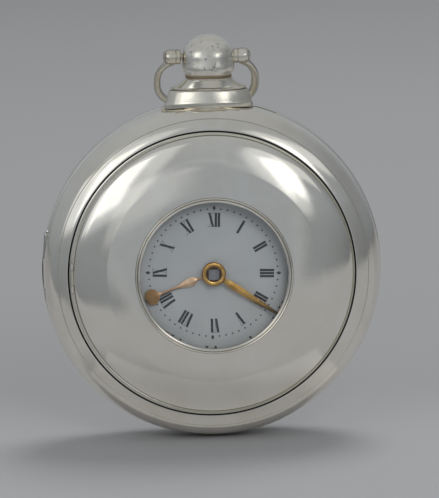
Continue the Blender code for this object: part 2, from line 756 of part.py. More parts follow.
def hinge_rod(name, radius, start, end, steps):
    return rod(name, radius, start, end, None, steps, **along_y((HINGE_X, 0, 0)))


half_hinge = HINGE_LENGTH / 2
half_middle = HINGE_MIDDLE / 2
for body, name in ((outer_back, "back_hinge_seat"), (outer_bezel, "bezel_hinge_seat")):
    cut(body, hinge_rod(name, HINGE_SEAT_R, -half_hinge - RUNNING, half_hinge + RUNNING, FINE_STEPS))


def knuckle(body, name, start, end, toward):
    """A hinge knuckle and the web that carries it, drilled for the pin."""
    web_low = 0 if toward > 0 else -HINGE_WEB_REACH
    web_high = HINGE_WEB_REACH if toward > 0 else 0
    half_web = HINGE_WEB / 2
    fuse(body, block(name + "_web", (HINGE_X - half_web, start, web_low), (HINGE_X + half_web, end,
                                                                           web_high)))
    fuse(body, hinge_rod(name, HINGE_R, start, end, FINE_STEPS))


knuckle(outer_back, "back_knuckle_low", -half_hinge, -half_middle - FIT, -1)
knuckle(outer_back, "back_knuckle_high", half_middle + FIT, half_hinge, -1)
knuckle(outer_bezel, "bezel_knuckle", -half_middle, half_middle, 1)
for body, name in ((outer_back, "back_hinge_bore"), (outer_bezel, "bezel_hinge_bore")):
    cut(body, hinge_rod(name, HINGE_PIN_R + FIT, -half_hinge - OVERRUN, half_hinge + OVERRUN,
                        FINE_STEPS))
rod("outer_hinge_pin", HINGE_PIN_R, -half_hinge, half_hinge, "silver_dull", FINE_STEPS,
    **along_y((HINGE_X, 0, 0)))

# Inner case
inner_profile = [(INNER_MOUTH_R, INNER_RIM_F), (INNER_RIM_R, INNER_RIM_F)]
inner_profile += [(INNER_R - INNER_SHOULDER_INSET, INNER_RIM_F - INNER_SHOULDER_DROP)]
inner_profile += [(INNER_R - INNER_SWELL_INSET, INNER_SWELL_F)]
inner_profile += bowl(BACK_FLAT_R, INNER_R, CASE_BAND, inner_depth, BOWL_POINTS - 1)
inner_profile += [(0, -inner_depth), (0, -inner_floor)]
inner_profile += list(reversed(inner_bowl))
inner_profile += [(INNER_R - INNER_RIM_FOOT_INSET, INNER_RIM_F - INNER_RIM_FOOT_DROP)]
inner_profile += [(INNER_LEDGE_R, INNER_LEDGE_F - INNER_LEDGE_T), (INNER_LEDGE_R, INNER_LEDGE_F)]
inner_profile += [(INNER_MOUTH_R, INNER_LEDGE_F)]
inner_case = turned("inner_case", ring_first(inner_profile), "silver", INNER_STEPS)
fusee_y = sqrt(((GREAT_TEETH + CENTRE_LEAVES) * GREAT_MODULE / 2) ** 2 - FUSEE_X ** 2)
cut(inner_case, rod("winding_hole", WINDING_HOLE_R, -inner_depth - OVERRUN, -inner_floor + OVERRUN, None,
                    SMALL_STEPS, (FUSEE_X, fusee_y, 0)))

# Half hunter cover, built round its hinge
cover_pivot = empty("cover_pivot", (LID_HINGE_X, 0, LID_HINGE_F), watch)
cover_place = (-LID_HINGE_X, 0, -LID_HINGE_F)
cover_foot = INNER_RIM_F + FIT
DOME_POINTS = 5


def dome(outer_r, crown_r, low, rise, count):
    """Points of the dome from the edge of its rim up to its crown."""
    power_share = 2 / COVER_POWER
    points = []
    for i in range(count + 1):
        a = pi / 2 * i / count
        r = crown_r + (outer_r - crown_r) * max(cos(a), 0) ** power_share
        points.append((r, low + rise * sin(a) ** power_share))
    return points


dome_outer = dome(COVER_LINE_R, COVER_CROWN_R, COVER_RIM_F, COVER_RISE, DOME_POINTS)
dome_inner = dome(COVER_R - COVER_LIP, COVER_CROWN_R, COVER_RIM_F - COVER_T, COVER_RISE, DOME_POINTS - 1)
crown_f = COVER_RIM_F + COVER_RISE
cover_profile = [(APERTURE_R, crown_f)] + list(reversed(dome_outer))
cover_profile += [(COVER_R - COVER_RIM_CHAMFER, COVER_RIM_F), (COVER_R, COVER_RIM_F - COVER_RIM_CHAMFER)]
cover_profile += [(COVER_R, cover_foot), (COVER_R - COVER_LIP, cover_foot)]
cover_profile += dome_inner + [(APERTURE_R, crown_f - COVER_T)]
cover = turned("half_hunter_cover", cover_profile, "silver", LARGE_STEPS, cover_place,
               parent=cover_pivot)


def lid_rod(name, radius, start, end, steps):
    return rod(name, radius, start, end, None, steps, **along_y((LID_HINGE_X, 0, LID_HINGE_F)))


half_lid = LID_HINGE_LENGTH / 2
half_lid_middle = LID_HINGE_MIDDLE / 2
seat_low = (-COVER_R - OVERRUN, -half_lid - FIT, cover_foot - OVERRUN)
seat_high = (LID_HINGE_X + LID_SEAT, half_lid + FIT, COVER_RIM_F + OVERRUN)
cut(cover, block("lid_seat", seat_low, seat_high))
web_low = (LID_HINGE_X, -half_lid_middle, LID_HINGE_F - LID_HINGE_R)
web_high = (LID_HINGE_X + LID_SEAT + SINK, half_lid_middle, COVER_RIM_F - FIT)
fuse(cover, block("lid_web", web_low, web_high))
fuse(cover, lid_rod("lid_knuckle", LID_HINGE_R, -half_lid_middle, half_lid_middle, FINE_STEPS))
lid_bore_r = LID_PIN_R + LID_PIN_PLAY
cut(cover, lid_rod("lid_bore", lid_bore_r, -half_lid - OVERRUN, half_lid + OVERRUN, FINE_STEPS))
for side, name in ((-1, "case_lug_low"), (1, "case_lug_high")):
    near = half_lid_middle + FIT
    start = near if side > 0 else -half_lid
    end = half_lid if side > 0 else -near
    half_lug = LID_LUG_W / 2
    fuse(inner_case, block(name + "_foot", (LID_HINGE_X - LID_LUG_FOOT, start, INNER_RIM_F - SINK),
                           (LID_HINGE_X + half_lug, end, INNER_RIM_F - FIT)))
    fuse(inner_case, block(name + "_post", (LID_HINGE_X - half_lug, start, INNER_RIM_F - SINK),
                           (LID_HINGE_X + half_lug, end, LID_HINGE_F)))
    fuse(inner_case, lid_rod(name, LID_HINGE_R, start, end, FINE_STEPS))
cut(inner_case, lid_rod("case_lid_bore", lid_bore_r, -half_lid - OVERRUN, half_lid + OVERRUN,
                        FINE_STEPS))
rod("cover_hinge_pin", LID_PIN_R, -half_lid, half_lid, "silver_dull", FINE_STEPS,
    **along_y((LID_HINGE_X, 0, LID_HINGE_F)))

# Aperture rim and glass
rim_outer_r = APERTURE_R - FIT
rim_inner_r = rim_outer_r - RIM_T
rim_top = crown_f + RIM_PROUD
rim_foot = rim_top - RIM_HEIGHT
glass_seat_r = GLASS_R + FIT
glass_top = rim_top - RIM_LIP - RIM_LIP
rim_profile = [((rim_outer_r + rim_inner_r) / 2, rim_top), (rim_outer_r, rim_top - RIM_PROUD)]
rim_profile += [(rim_outer_r, rim_foot), (glass_seat_r, rim_foot), (glass_seat_r, glass_top + FIT)]
rim_profile += [(rim_inner_r, glass_top + FIT), (rim_inner_r, rim_top - RIM_PROUD)]
turned("aperture_rim", rim_profile, "silver", INNER_STEPS, cover_place, parent=cover_pivot)
rod("aperture_glass", GLASS_R, glass_top - GLASS_T, glass_top, "crystal", INNER_STEPS, cover_place,
    parent=cover_pivot)

# Pendant
collar_bore_r = STEM_R + FIT
collar_middle = (COLLAR_TOP + COLLAR_FOOT) / 2
collar_rings = [(NECK_R, 1, SHOULDER_TOP)]
for r, h in ((COLLAR_TOP_R, COLLAR_TOP), (COLLAR_WAIST_R, COLLAR_TOP - SINK), (COLLAR_WAIST_R, collar_middle),
             (COLLAR_FOOT_R, COLLAR_FOOT + SINK), (COLLAR_FOOT_R, COLLAR_FOOT)):
    collar_rings.append((r, COLLAR_DEPTH_SHARE, h))
collar = oval("pendant_collar", collar_rings, "silver", MEDIUM_STEPS, **along_y())
cut(collar, rod("collar_bore", collar_bore_r, COLLAR_FOOT - OVERRUN, SHOULDER_TOP + OVERRUN, None,
                MEDIUM_STEPS, **along_y()))
neck_foot = SHOULDER_TOP + FIT
pendant_profile = [(0, BALL_CENTRE + BALL_RISE)]
for i in range(1, BALL_POINTS + 1):
    a = pi / 2 - pi / 2 * i / BALL_POINTS
    pendant_profile.append((BALL_R * cos(a), BALL_CENTRE + BALL_RISE * sin(a)))
pendant_profile += [(BALL_R, BALL_CENTRE - BALL_SIDE), (NECK_R, neck_foot + NECK_T), (NECK_R, neck_foot)]
pendant_profile += [(STEM_R, neck_foot)]
pendant_profile += [(STEM_R, STEM_FOOT), (0, STEM_FOOT)]
pendant = turned("pendant", pendant_profile, "silver", MEDIUM_STEPS, **along_y())
bore_r = SCREW_R + FIT
cut(pendant, rod("bow_bore", bore_r, -BALL_R - OVERRUN, BALL_R + OVERRUN, None, FINE_STEPS,
                 (0, BOW_PIVOT, 0), (0, pi / 2, 0)))

# Bow, hanging behind the collar
bow_pivot = empty("bow_pivot", (0, BOW_PIVOT, 0), watch)
bow_start = (KNUCKLE_START + KNUCKLE_END) / 2
bow_share = 2 / BOW_POWER
start_angle = pi / 2 - acos((bow_start / BOW_HALF_WIDTH) ** (1 / bow_share))
bow_rise = (BOW_LENGTH - KNUCKLE_SINK_SHARE * KNUCKLE_R) / (1 + cos(start_angle) ** bow_share)
bow_middle = BOW_LENGTH - bow_rise
bow_path = []
for i in range(BOW_STEPS + 1):
    a = start_angle + (tau - 2 * start_angle) * i / BOW_STEPS
    drop = bow_middle - bow_rise * copysign(abs(cos(a)) ** bow_share, cos(a))
    bow_path.append((-BOW_HALF_WIDTH * copysign(abs(sin(a)) ** bow_share, sin(a)), -drop * cos(BOW_REST),
                     -drop * sin(BOW_REST)))
bow = tube("bow", bow_path, BOW_WIRE_R, FINE_STEPS, "silver", parent=bow_pivot)
for side, name in ((-1, "left"), (1, "right")):
    along_x = dict(turn=(0, side * pi / 2, 0), parent=bow_pivot)
    fuse(bow, rod("bow_knuckle_" + name, KNUCKLE_R, KNUCKLE_START, KNUCKLE_END, None, SMALL_STEPS,
                  **along_x))
for side, name in ((-1, "left"), (1, "right")):
    along_x = dict(turn=(0, side * pi / 2, 0), parent=bow_pivot)
    cut(bow, rod("bow_knuckle_bore_" + name, bore_r, KNUCKLE_START - OVERRUN, KNUCKLE_END + OVERRUN,
                 None,
                 FINE_STEPS, **along_x))
    head = KNUCKLE_END + FIT
    screw_profile = [(0, head + SCREW_HEAD_T), (SCREW_HEAD_R, head + SCREW_HEAD_T), (SCREW_HEAD_R, head)]
    screw_profile += [(SCREW_R, head), (SCREW_R, SCREW_START), (0, SCREW_START)]
    screw = turned("bow_screw_" + name, screw_profile, "silver_dull", FINE_STEPS, (0, BOW_PIVOT, 0),
                   (0, side * pi / 2, 0))
    half_slot = SCREW_SLOT / 2
    cut(screw, block("bow_slot_" + name, (-half_slot, -SCREW_HEAD_R - OVERRUN, head + SCREW_HEAD_T / 2),
                     (half_slot, SCREW_HEAD_R + OVERRUN, head + SCREW_HEAD_T + OVERRUN), None, watch,
                     (0, BOW_PIVOT, 0), (0, side * pi / 2, 0)))

# Dial and brass edge
edge_top = DIAL_BACK + DIAL_T
edge_seat = DIAL_BACK - FIT
edge_foot = PLATE_FRONT + FIT
dial_seat_r = DIAL_R + RUNNING
ledge_top = INNER_LEDGE_F + FIT
edge_profile = [(dial_seat_r, edge_top), (EDGE_R, edge_top), (EDGE_R, ledge_top)]
edge_profile += [(INNER_LEDGE_R, ledge_top), (PLATE_R, edge_foot), (EDGE_BORE_R, edge_foot)]
edge_profile += [(EDGE_BORE_R, edge_seat), (dial_seat_r, edge_seat)]
turned("brass_edge", edge_profile, "gilt", INNER_STEPS)
dial_profile = [(DIAL_HOLE_R, edge_top + DIAL_CROWN), (DIAL_R / 2, edge_top + DIAL_CROWN)]
dial_profile += [(DIAL_R, edge_top - DIAL_CROWN), (DIAL_R, DIAL_BACK), (DIAL_HOLE_R, DIAL_BACK)]
turned("dial", dial_profile, "enamel", INNER_STEPS)

# Motion work
motion_a = (CANNON_LEAVES + MINUTE_TEETH) * MOTION_MODULE / 2
motion_x = motion_a * cos(MOTION_TURN)
motion_y = motion_a * sin(MOTION_TURN)
motion_back = MOTION_FRONT - MOTION_T
hour_wheel_front = MOTION_FRONT + MOTION_STEP
hour_wheel_back = hour_wheel_front - MOTION_T
pipe_bore_r = CANNON_R + FIT
cannon = prism("cannon_pinion", leaf_outline(CANNON_LEAVES, MOTION_MODULE, MOTION_TURN), motion_back,
               MOTION_FRONT, "steel")
fuse(cannon, rod("cannon_pipe", CANNON_R, motion_back + MOTION_T / 2, MINUTE_HAND_F + HAND_T, None,
                 SMALL_STEPS))
half_square = SETTING_SQUARE / 2
fuse(cannon, block("cannon_square", (-half_square, -half_square, MINUTE_HAND_F + HAND_T / 2 + FIT),
                   (half_square, half_square, SETTING_TOP)))
cut(cannon, rod("cannon_bore", CENTRE_ARBOR_R + FIT, motion_back - OVERRUN, MINUTE_HAND_F, None,
                FINE_STEPS))
hour_wheel = prism("hour_wheel", wheel_outline(HOUR_TEETH, MOTION_MODULE, MOTION_TURN), hour_wheel_back,
                   hour_wheel_front, "brass")
fuse(hour_wheel, rod("hour_pipe", HOUR_PIPE_R, hour_wheel_back + MOTION_T / 2, HOUR_HAND_F + HAND_T,
                     None,
                     SMALL_STEPS))
cut(hour_wheel, rod("hour_bore", pipe_bore_r, hour_wheel_back - OVERRUN,
                    HOUR_HAND_F + HAND_T + OVERRUN, None,
                    SMALL_STEPS))
facing = MOTION_TURN + pi
minute_wheel = prism("minute_wheel", wheel_outline(MINUTE_TEETH, MOTION_MODULE,
                                                   facing + pi / MINUTE_TEETH),
                     motion_back, MOTION_FRONT, "brass", (motion_x, motion_y, 0))
fuse(minute_wheel, prism("minute_leaves", leaf_outline(MINUTE_LEAVES, MOTION_MODULE,
                                                       facing + pi / MINUTE_LEAVES),
                         motion_back + MOTION_T / 2, hour_wheel_front, None, (motion_x, motion_y, 0)))
cut(minute_wheel, rod("minute_bore", ARBOR_R + FIT, motion_back - OVERRUN,
                      hour_wheel_front + OVERRUN, None,
                      FINE_STEPS, (motion_x, motion_y, 0)))


# Hands, drawn up to twelve and turned clockwise
def hand(name, side, hub_r, low, bore, look, angle, hub_top, recess_r):
    outline = [(-half, r) for half, r in reversed(side)]
    outline += [(half, r) for half, r in side if half > 0]
    made = prism(name, outline, low, low + HAND_T, look, (0, 0, 0), (0, 0, -angle))
    hub = [(0, hub_top), (hub_r - HAND_T, hub_top), (hub_r, low + HAND_T), (hub_r, low), (0, low)]
    fuse(made, turned(name + "_hub", hub, None, MEDIUM_STEPS, (0, 0, 0), (0, 0, -angle)))
    cut(made, rod(name + "_bore", bore, low - OVERRUN, hub_top + OVERRUN, None, SMALL_STEPS))
    if recess_r:
        cut(made, rod(name + "_recess", recess_r, low + HAND_T / 2, hub_top + OVERRUN, None,
                      SMALL_STEPS))
    return made


spade_share = (0.45, 0.85, 1.0, 0.85, 0.3)
leaf_share = (0.4, 1.0, 0.85, 0.3)
hour_side = [(HOUR_NECK_HALF, HOUR_HUB_R / 2), (HOUR_NECK_HALF, HOUR_LEAF_START)]
for i, share in enumerate(leaf_share):
    r = HOUR_LEAF_START + (HOUR_LEAF_END - HOUR_LEAF_START) * (i + 0.5) / len(leaf_share)
    hour_side.append((max(HOUR_LEAF_HALF * share, HOUR_NECK_HALF), r))
hour_side.append((HOUR_NECK_HALF, HOUR_LEAF_END))
spade_start = HOUR_SPADE_R - HOUR_SPADE_HALF
for i, share in enumerate(spade_share):
    r = spade_start + 2 * HOUR_SPADE_HALF * i / (len(spade_share) - 1)
    hour_side.append((HOUR_SPADE_HALF * share, r))
hour_side.append((0, HOUR_TIP_R))
hand("hour_hand", hour_side, HOUR_HUB_R, HOUR_HAND_F, HOUR_PIPE_R + FIT, "copper_gold", HOUR_ANGLE,
     HOUR_HAND_F + HAND_T, 0)
minute_side = [(MINUTE_HALF / 2, MINUTE_HUB_R / 2), (MINUTE_HALF, MINUTE_WIDEST_R)]
minute_side += [(MINUTE_TIP_HALF, MINUTE_TIP_R), (0, MINUTE_TIP_R + MINUTE_TIP_HALF)]
hand("minute_hand", minute_side, MINUTE_HUB_R, MINUTE_HAND_F, CANNON_R + FIT, "gold", MINUTE_ANGLE,
     MINUTE_HAND_F + MINUTE_HUB_T, MINUTE_RECESS_R)

# Plates, pillars and pins
train_third_a = (CENTRE_TEETH + THIRD_LEAVES) * CENTRE_MODULE / 2
third_x = train_third_a * cos(THIRD_TURN)
third_y = train_third_a * sin(THIRD_TURN)
contrate_a = (THIRD_TEETH + CONTRATE_LEAVES) * THIRD_MODULE / 2
contrate_x = third_x + contrate_a * cos(CONTRATE_TURN)
contrate_y = third_y + contrate_a * sin(CONTRATE_TURN)
verge_dir = Vector(VERGE_WAY_SHARES).normalized()
verge_turn = atan2(verge_dir.y, verge_dir.x)
verge_x = contrate_x + VERGE_REACH * verge_dir.x
verge_y = contrate_y + VERGE_REACH * verge_dir.y
pivot_hole_r = PIVOT_R + FIT
pillar_plate = rod("pillar_plate", PLATE_R, plate_back, PLATE_FRONT, "gilt", INNER_STEPS)
top_plate = rod("top_plate", PLATE_R, top_back, top_front, "gilt", INNER_STEPS)
front_holes = (("centre", 0, 0, CENTRE_ARBOR_R + FIT), ("third", third_x, third_y, pivot_hole_r),
               ("contrate", contrate_x, contrate_y, pivot_hole_r), ("fusee", FUSEE_X, fusee_y,
                                                                    pivot_hole_r),
               ("barrel", BARREL_X, BARREL_Y, BARREL_PIVOT_R + FIT))
for label, x, y, r in front_holes:
    cut(pillar_plate, rod("front_hole_" + label, r, plate_back - OVERRUN, PLATE_FRONT + OVERRUN, None,
                          FINE_STEPS, (x, y, 0)))
fuse(pillar_plate, rod("minute_stud", ARBOR_R, PLATE_FRONT - PLATE_T / 2, hour_wheel_front, None,
                       FINE_STEPS,
                       (motion_x, motion_y, 0)))
winding_r = FUSEE_SQUARE / sqrt(2) + RUNNING
verge_hole_r = PALLET_LENGTH + RUNNING
back_holes = (("centre", 0, 0, pivot_hole_r), ("third", third_x, third_y, pivot_hole_r),
              ("contrate", contrate_x, contrate_y, pivot_hole_r), ("fusee", FUSEE_X, fusee_y, winding_r),
              ("barrel", BARREL_X, BARREL_Y, BARREL_PIVOT_R + FIT), ("verge", verge_x, verge_y,
                                                                     verge_hole_r))
for label, x, y, r in back_holes:
    cut(top_plate, rod("back_hole_" + label, r, top_back - OVERRUN, top_front + OVERRUN, None,
                       FINE_STEPS,
                       (x, y, 0)))
for number, angle in enumerate(PILLAR_ANGLES, 1):
    x = PILLAR_RING_R * cos(angle)
    y = PILLAR_RING_R * sin(angle)
    foot = plate_back - FIT
    head = top_front + FIT
    middle = (foot + head) / 2
    profile = [(0, foot), (PILLAR_R, foot), (PILLAR_R, foot - PILLAR_R), (PILLAR_WAIST_R, middle)]
    profile += [(PILLAR_R, head + PILLAR_R), (PILLAR_R, head), (PILLAR_STUB_R, head)]
    profile += [(PILLAR_STUB_R, top_back - PILLAR_STUB), (0, top_back - PILLAR_STUB)]
    pillar = turned("pillar_%d" % number, profile, "gilt", FINE_STEPS, (x, y, 0))
    cut(top_plate, rod("pillar_hole_%d" % number, PILLAR_STUB_R + FIT, top_back - OVERRUN,
                       top_front + OVERRUN, None, FINE_STEPS, (x, y, 0)))
    lies = dict(place=(x, y, top_back - PILLAR_STUB / 2), turn=(pi / 2, 0, angle))
    half_pin = PIN_LENGTH / 2
    cut(pillar, rod("pin_hole_%d" % number, PIN_R + FIT / 2, -PILLAR_R, PILLAR_R, None, FINE_STEPS,
                    **lies))
    rod("plate_pin_%d" % number, PIN_R, -half_pin, half_pin, "steel", FINE_STEPS, **lies)

# Going barrel, its cap, arbor and mainspring
barrel_at = (BARREL_X, BARREL_Y, 0)
barrel_bore_r = BARREL_R - BARREL_WALL
arbor_hole_r = BARREL_PIVOT_R + FIT
cap_front = barrel_back + BARREL_CAP_T
barrel_profile = [(arbor_hole_r, BARREL_FRONT), (BARREL_R, BARREL_FRONT), (BARREL_R, barrel_back)]
barrel_profile += [(barrel_bore_r, barrel_back), (barrel_bore_r, BARREL_FRONT - BARREL_WALL)]
barrel_profile += [(arbor_hole_r, BARREL_FRONT - BARREL_WALL)]
turned("barrel", barrel_profile, "gilt", MEDIUM_STEPS, barrel_at)
cap_profile = [(arbor_hole_r, cap_front), (barrel_bore_r - FIT, cap_front), (barrel_bore_r - FIT,
                                                                             barrel_back)]
cap_profile += [(arbor_hole_r, barrel_back)]
turned("barrel_cap", cap_profile, "gilt", MEDIUM_STEPS, barrel_at)
room_front = BARREL_FRONT - BARREL_WALL - FIT
room_back = cap_front + FIT
arbor_profile = [(0, PLATE_FRONT), (BARREL_PIVOT_R, PLATE_FRONT), (BARREL_PIVOT_R, room_front)]
arbor_profile += [(BARREL_ARBOR_R, room_front), (BARREL_ARBOR_R, room_back), (BARREL_PIVOT_R, room_back)]
arbor_profile += [(BARREL_PIVOT_R, top_back), (0, top_back)]
turned("barrel_arbor", arbor_profile, "steel", SMALL_STEPS, barrel_at)
spring_in_r = BARREL_ARBOR_R + SPRING_T
spring_out_r = barrel_bore_r - SPRING_T
spring_path = []
for i in range(SPRING_TURNS * SPRING_STEPS + 1):
    a = tau * i / SPRING_STEPS
    r = spring_in_r + (spring_out_r - spring_in_r) * i / (SPRING_TURNS * SPRING_STEPS)
    spring_path.append((r * cos(a), r * sin(a)))
ribbon("mainspring", spring_path, SPRING_T, room_back, room_front, "blued_steel", barrel_at)
spring_pitch = (spring_out_r - spring_in_r) / SPRING_TURNS
print("mainspring: least gap between turns", round((spring_pitch - SPRING_T) * 1000, 3), "mm")

# Fusee with its great wheel, and the chain between fusee and barrel
fusee_at = (FUSEE_X, fusee_y, 0)
great_turn = atan2(-fusee_y, -FUSEE_X)
fusee = prism("fusee", wheel_outline(GREAT_TEETH, GREAT_MODULE, great_turn), GREAT_FRONT - GREAT_T,
              GREAT_FRONT,
              "gilt", fusee_at)
fusee_end = FUSEE_FRONT - FUSEE_LENGTH


def fusee_r(h):
    return FUSEE_BIG_R + (FUSEE_SMALL_R - FUSEE_BIG_R) * (FUSEE_FRONT - h) / FUSEE_LENGTH


cone = [(0, GREAT_FRONT - GREAT_T / 2), (FUSEE_SMALL_R, GREAT_FRONT - GREAT_T / 2)]
cone += [(FUSEE_SMALL_R, FUSEE_FRONT + FIT), (FUSEE_BIG_R, FUSEE_FRONT + FIT)]
groove_pitch = FUSEE_LENGTH / FUSEE_GROOVES
for i in range(FUSEE_GROOVES):
    h = FUSEE_FRONT - groove_pitch * i
    cone += [(fusee_r(h), h), (fusee_r(h) - FUSEE_GROOVE, h - groove_pitch / 2)]
cone += [(FUSEE_SMALL_R, fusee_end), (0, fusee_end)]
fuse(fusee, turned("fusee_cone", cone, None, MEDIUM_STEPS, fusee_at))
fusee_arbor = [(0, PLATE_FRONT), (PIVOT_R, PLATE_FRONT), (PIVOT_R, plate_back - FIT),
               (BARREL_PIVOT_R, plate_back - FIT)]
fusee_arbor += [(BARREL_PIVOT_R, top_front + FIT), (0, top_front + FIT)]
fuse(fusee, turned("fusee_arbor", fusee_arbor, None, FINE_STEPS, fusee_at))
half_wind = FUSEE_SQUARE / 2
fuse(fusee, block("winding_square", (-half_wind, -half_wind, FUSEE_SQUARE_END),
                  (half_wind, half_wind, fusee_end + SINK), None, watch, fusee_at))
chain_back = CHAIN_FRONT - CHAIN_WIDTH
chain_barrel_r = BARREL_R + FIT + CHAIN_T / 2
chain_fusee_r = fusee_r(CHAIN_FRONT) + FIT + CHAIN_T / 2
run = Vector((FUSEE_X - BARREL_X, fusee_y - BARREL_Y))
lean = atan2(run.y, run.x)
swing = acos((chain_barrel_r - chain_fusee_r) / run.length)
chain_path = []
for i in range(CHAIN_STEPS + 1):
    a = lean + swing + pi * (1 - i / CHAIN_STEPS)
    chain_path.append((BARREL_X + chain_barrel_r * cos(a), BARREL_Y + chain_barrel_r * sin(a)))
for i in range(CHAIN_STEPS + 1):
    a = lean + swing - pi * i / CHAIN_STEPS
    chain_path.append((FUSEE_X + chain_fusee_r * cos(a), fusee_y + chain_fusee_r * sin(a)))
ribbon("fusee_chain", chain_path, CHAIN_T, chain_back, CHAIN_FRONT, "steel")


# Train wheels on their arbors
def arbor(name, front, back, place, radius=ARBOR_R):
    profile = [(0, PLATE_FRONT), (PIVOT_R, PLATE_FRONT), (PIVOT_R, front), (radius, front), (radius,
                                                                                             back)]
    profile += [(PIVOT_R, back), (PIVOT_R, top_back), (0, top_back)]
    return turned(name, profile, None, FINE_STEPS, place)


arbor_front = plate_back - FIT
arbor_back = top_front + FIT
centre_wheel = prism("centre_wheel", wheel_outline(CENTRE_TEETH, CENTRE_MODULE, THIRD_TURN),
                     CENTRE_FRONT - CENTRE_T, CENTRE_FRONT, "gilt")
centre_leaves = leaf_outline(CENTRE_LEAVES, GREAT_MODULE, great_turn + pi + pi / CENTRE_LEAVES)
fuse(centre_wheel, prism("centre_leaves", centre_leaves, CENTRE_PINION_FRONT - CENTRE_PINION_T,
                         CENTRE_FRONT - CENTRE_T / 2, None))
centre_arbor = [(0, MINUTE_HAND_F - FIT), (CENTRE_ARBOR_R, MINUTE_HAND_F - FIT), (CENTRE_ARBOR_R,
                                                                                  arbor_back)]
centre_arbor += [(PIVOT_R, arbor_back), (PIVOT_R, top_back), (0, top_back)]
fuse(centre_wheel, turned("centre_arbor", centre_arbor, None, FINE_STEPS))
third_at = (third_x, third_y, 0)
third_wheel = prism("third_wheel", wheel_outline(THIRD_TEETH, THIRD_MODULE, CONTRATE_TURN),
                    THIRD_FRONT - THIRD_T,
                    THIRD_FRONT, "gilt", third_at)
fuse(third_wheel, prism("third_leaves", leaf_outline(THIRD_LEAVES, CENTRE_MODULE,
                                                     THIRD_TURN + pi + pi / THIRD_LEAVES),
                        CENTRE_FRONT - CENTRE_T - LEAF_OVERLAP, CENTRE_FRONT + LEAF_OVERLAP, None, third_at))
fuse(third_wheel, arbor("third_arbor", arbor_front, arbor_back, third_at))
contrate_at = (contrate_x, contrate_y, 0)
contrate_back = CONTRATE_FRONT - CONTRATE_T
contrate_middle_r = CONTRATE_R - CONTRATE_RING / 2
crown_module = 2 * contrate_middle_r / CONTRATE_TEETH
crown_pitch_r = crown_module * CROWN_LEAVES / 2
contrate_tip = CROWN_LEVEL + crown_pitch_r - CROWN_MESH_SHARE * crown_module
crown_leaf_r = crown_pitch_r + LEAF_ADDENDUM_SHARE * crown_module
crown_foot_r = crown_pitch_r - CROWN_MESH_SHARE * crown_module - FIT
contrate = rod("contrate_wheel", contrate_middle_r, contrate_back, CONTRATE_FRONT, "gilt", MEDIUM_STEPS,
               contrate_at)
ring_in_r = CONTRATE_R - CONTRATE_RING


def crown_ring(name, teeth, inner_r, outer_r, base, shoulder, tip, foot_share, tip_share, start,
               slant=0.0):
    """A ring whose edge is cut into teeth that stand along its axis."""
    mesh = bpy.data.meshes.new(name)
    points, faces = [], []
    for i in range(teeth):
        for side_share, h in ((-foot_share / 2, shoulder), (-tip_share / 2 + slant, tip),
                              (tip_share / 2 + slant, tip), (foot_share / 2, shoulder)):
            a = start + tau * (i + side_share) / teeth
            for r in (inner_r, outer_r):
                points.append((r * cos(a), r * sin(a), base))
                points.append((r * cos(a), r * sin(a), h))
    columns = len(points) // 4
    for i in range(columns):
        here = 4 * i
        after = 4 * ((i + 1) % columns)
        faces.append((here, after, after + 1, here + 1))
        faces.append((here + 3, after + 3, after + 2, here + 2))
        faces.append((here + 1, after + 1, after + 3, here + 3))
        faces.append((here + 2, after + 2, after, here))
    if tip > base:
        faces = [tuple(reversed(face)) for face in faces]
    mesh.from_pydata(points, [], faces)
    shade(mesh)
    return mesh


contrate_ring = crown_ring("contrate_ring", CONTRATE_TEETH, ring_in_r, CONTRATE_R,
                           contrate_back + CONTRATE_T / 2,
                           contrate_back - FIT, contrate_tip, WHEEL_FOOT_SHARE, WHEEL_TIP_SHARE, verge_turn)
fuse(contrate, add("contrate_ring", contrate_ring, None, contrate_at))
fuse(contrate, prism("contrate_leaves", leaf_outline(CONTRATE_LEAVES, THIRD_MODULE,
                                                     CONTRATE_TURN + pi + pi / CONTRATE_LEAVES),
                     THIRD_FRONT - THIRD_T - LEAF_OVERLAP, THIRD_FRONT + LEAF_OVERLAP, None, contrate_at))
fuse(contrate, arbor("contrate_arbor", arbor_front, arbor_back, contrate_at))

# Crown wheel on its level arbor, drawn along its own Z and laid towards the verge
crown_lie = dict(place=(contrate_x, contrate_y, CROWN_LEVEL), turn=(0, pi / 2, verge_turn))
crown_tip = VERGE_REACH - PALLET_LENGTH - RUNNING
crown_shoulder = crown_tip - CROWN_TOOTH
crown_base = crown_shoulder - CROWN_DEPTH
crown_mesh = crown_ring("crown_wheel", CROWN_TEETH, CROWN_R - CROWN_WALL, CROWN_R, crown_base,
                        crown_shoulder,
                        crown_tip, WHEEL_FOOT_SHARE, WHEEL_TIP_SHARE, 0.0, CROWN_SLANT_SHARE)
crown = add("crown_wheel", crown_mesh, "gilt", **crown_lie)
fuse(crown, rod("crown_web", CROWN_R - CROWN_WALL / 2, crown_base, crown_base + CROWN_WEB, None,
                MEDIUM_STEPS,
                **crown_lie))
pinion_start = CONTRATE_R - CONTRATE_RING / 2 - CROWN_PINION_LENGTH / 2
crown_leaves = []
for i in range(CROWN_LEAVES):
    for r, side_share in ((crown_foot_r, -LEAF_FOOT_SHARE / 2), (crown_leaf_r, -LEAF_TIP_SHARE / 2),
                          (crown_leaf_r, LEAF_TIP_SHARE / 2), (crown_foot_r, LEAF_FOOT_SHARE / 2)):
        a = tau * (i + 0.5 + side_share) / CROWN_LEAVES
        crown_leaves.append((-r * cos(a), -r * sin(a)))
fuse(crown, prism("crown_leaves", crown_leaves, pinion_start, pinion_start + CROWN_PINION_LENGTH, None,
                  **crown_lie))
inner_bearing = CONTRATE_R * BEARING_SHARE
fuse(crown, rod("crown_arbor", PIVOT_R, inner_bearing, crown_base + CROWN_WEB / 2, None, FINE_STEPS,
                **crown_lie))
outer_bearing = CONTRATE_R + CONTRATE_RING
post_foot = top_front + FIT
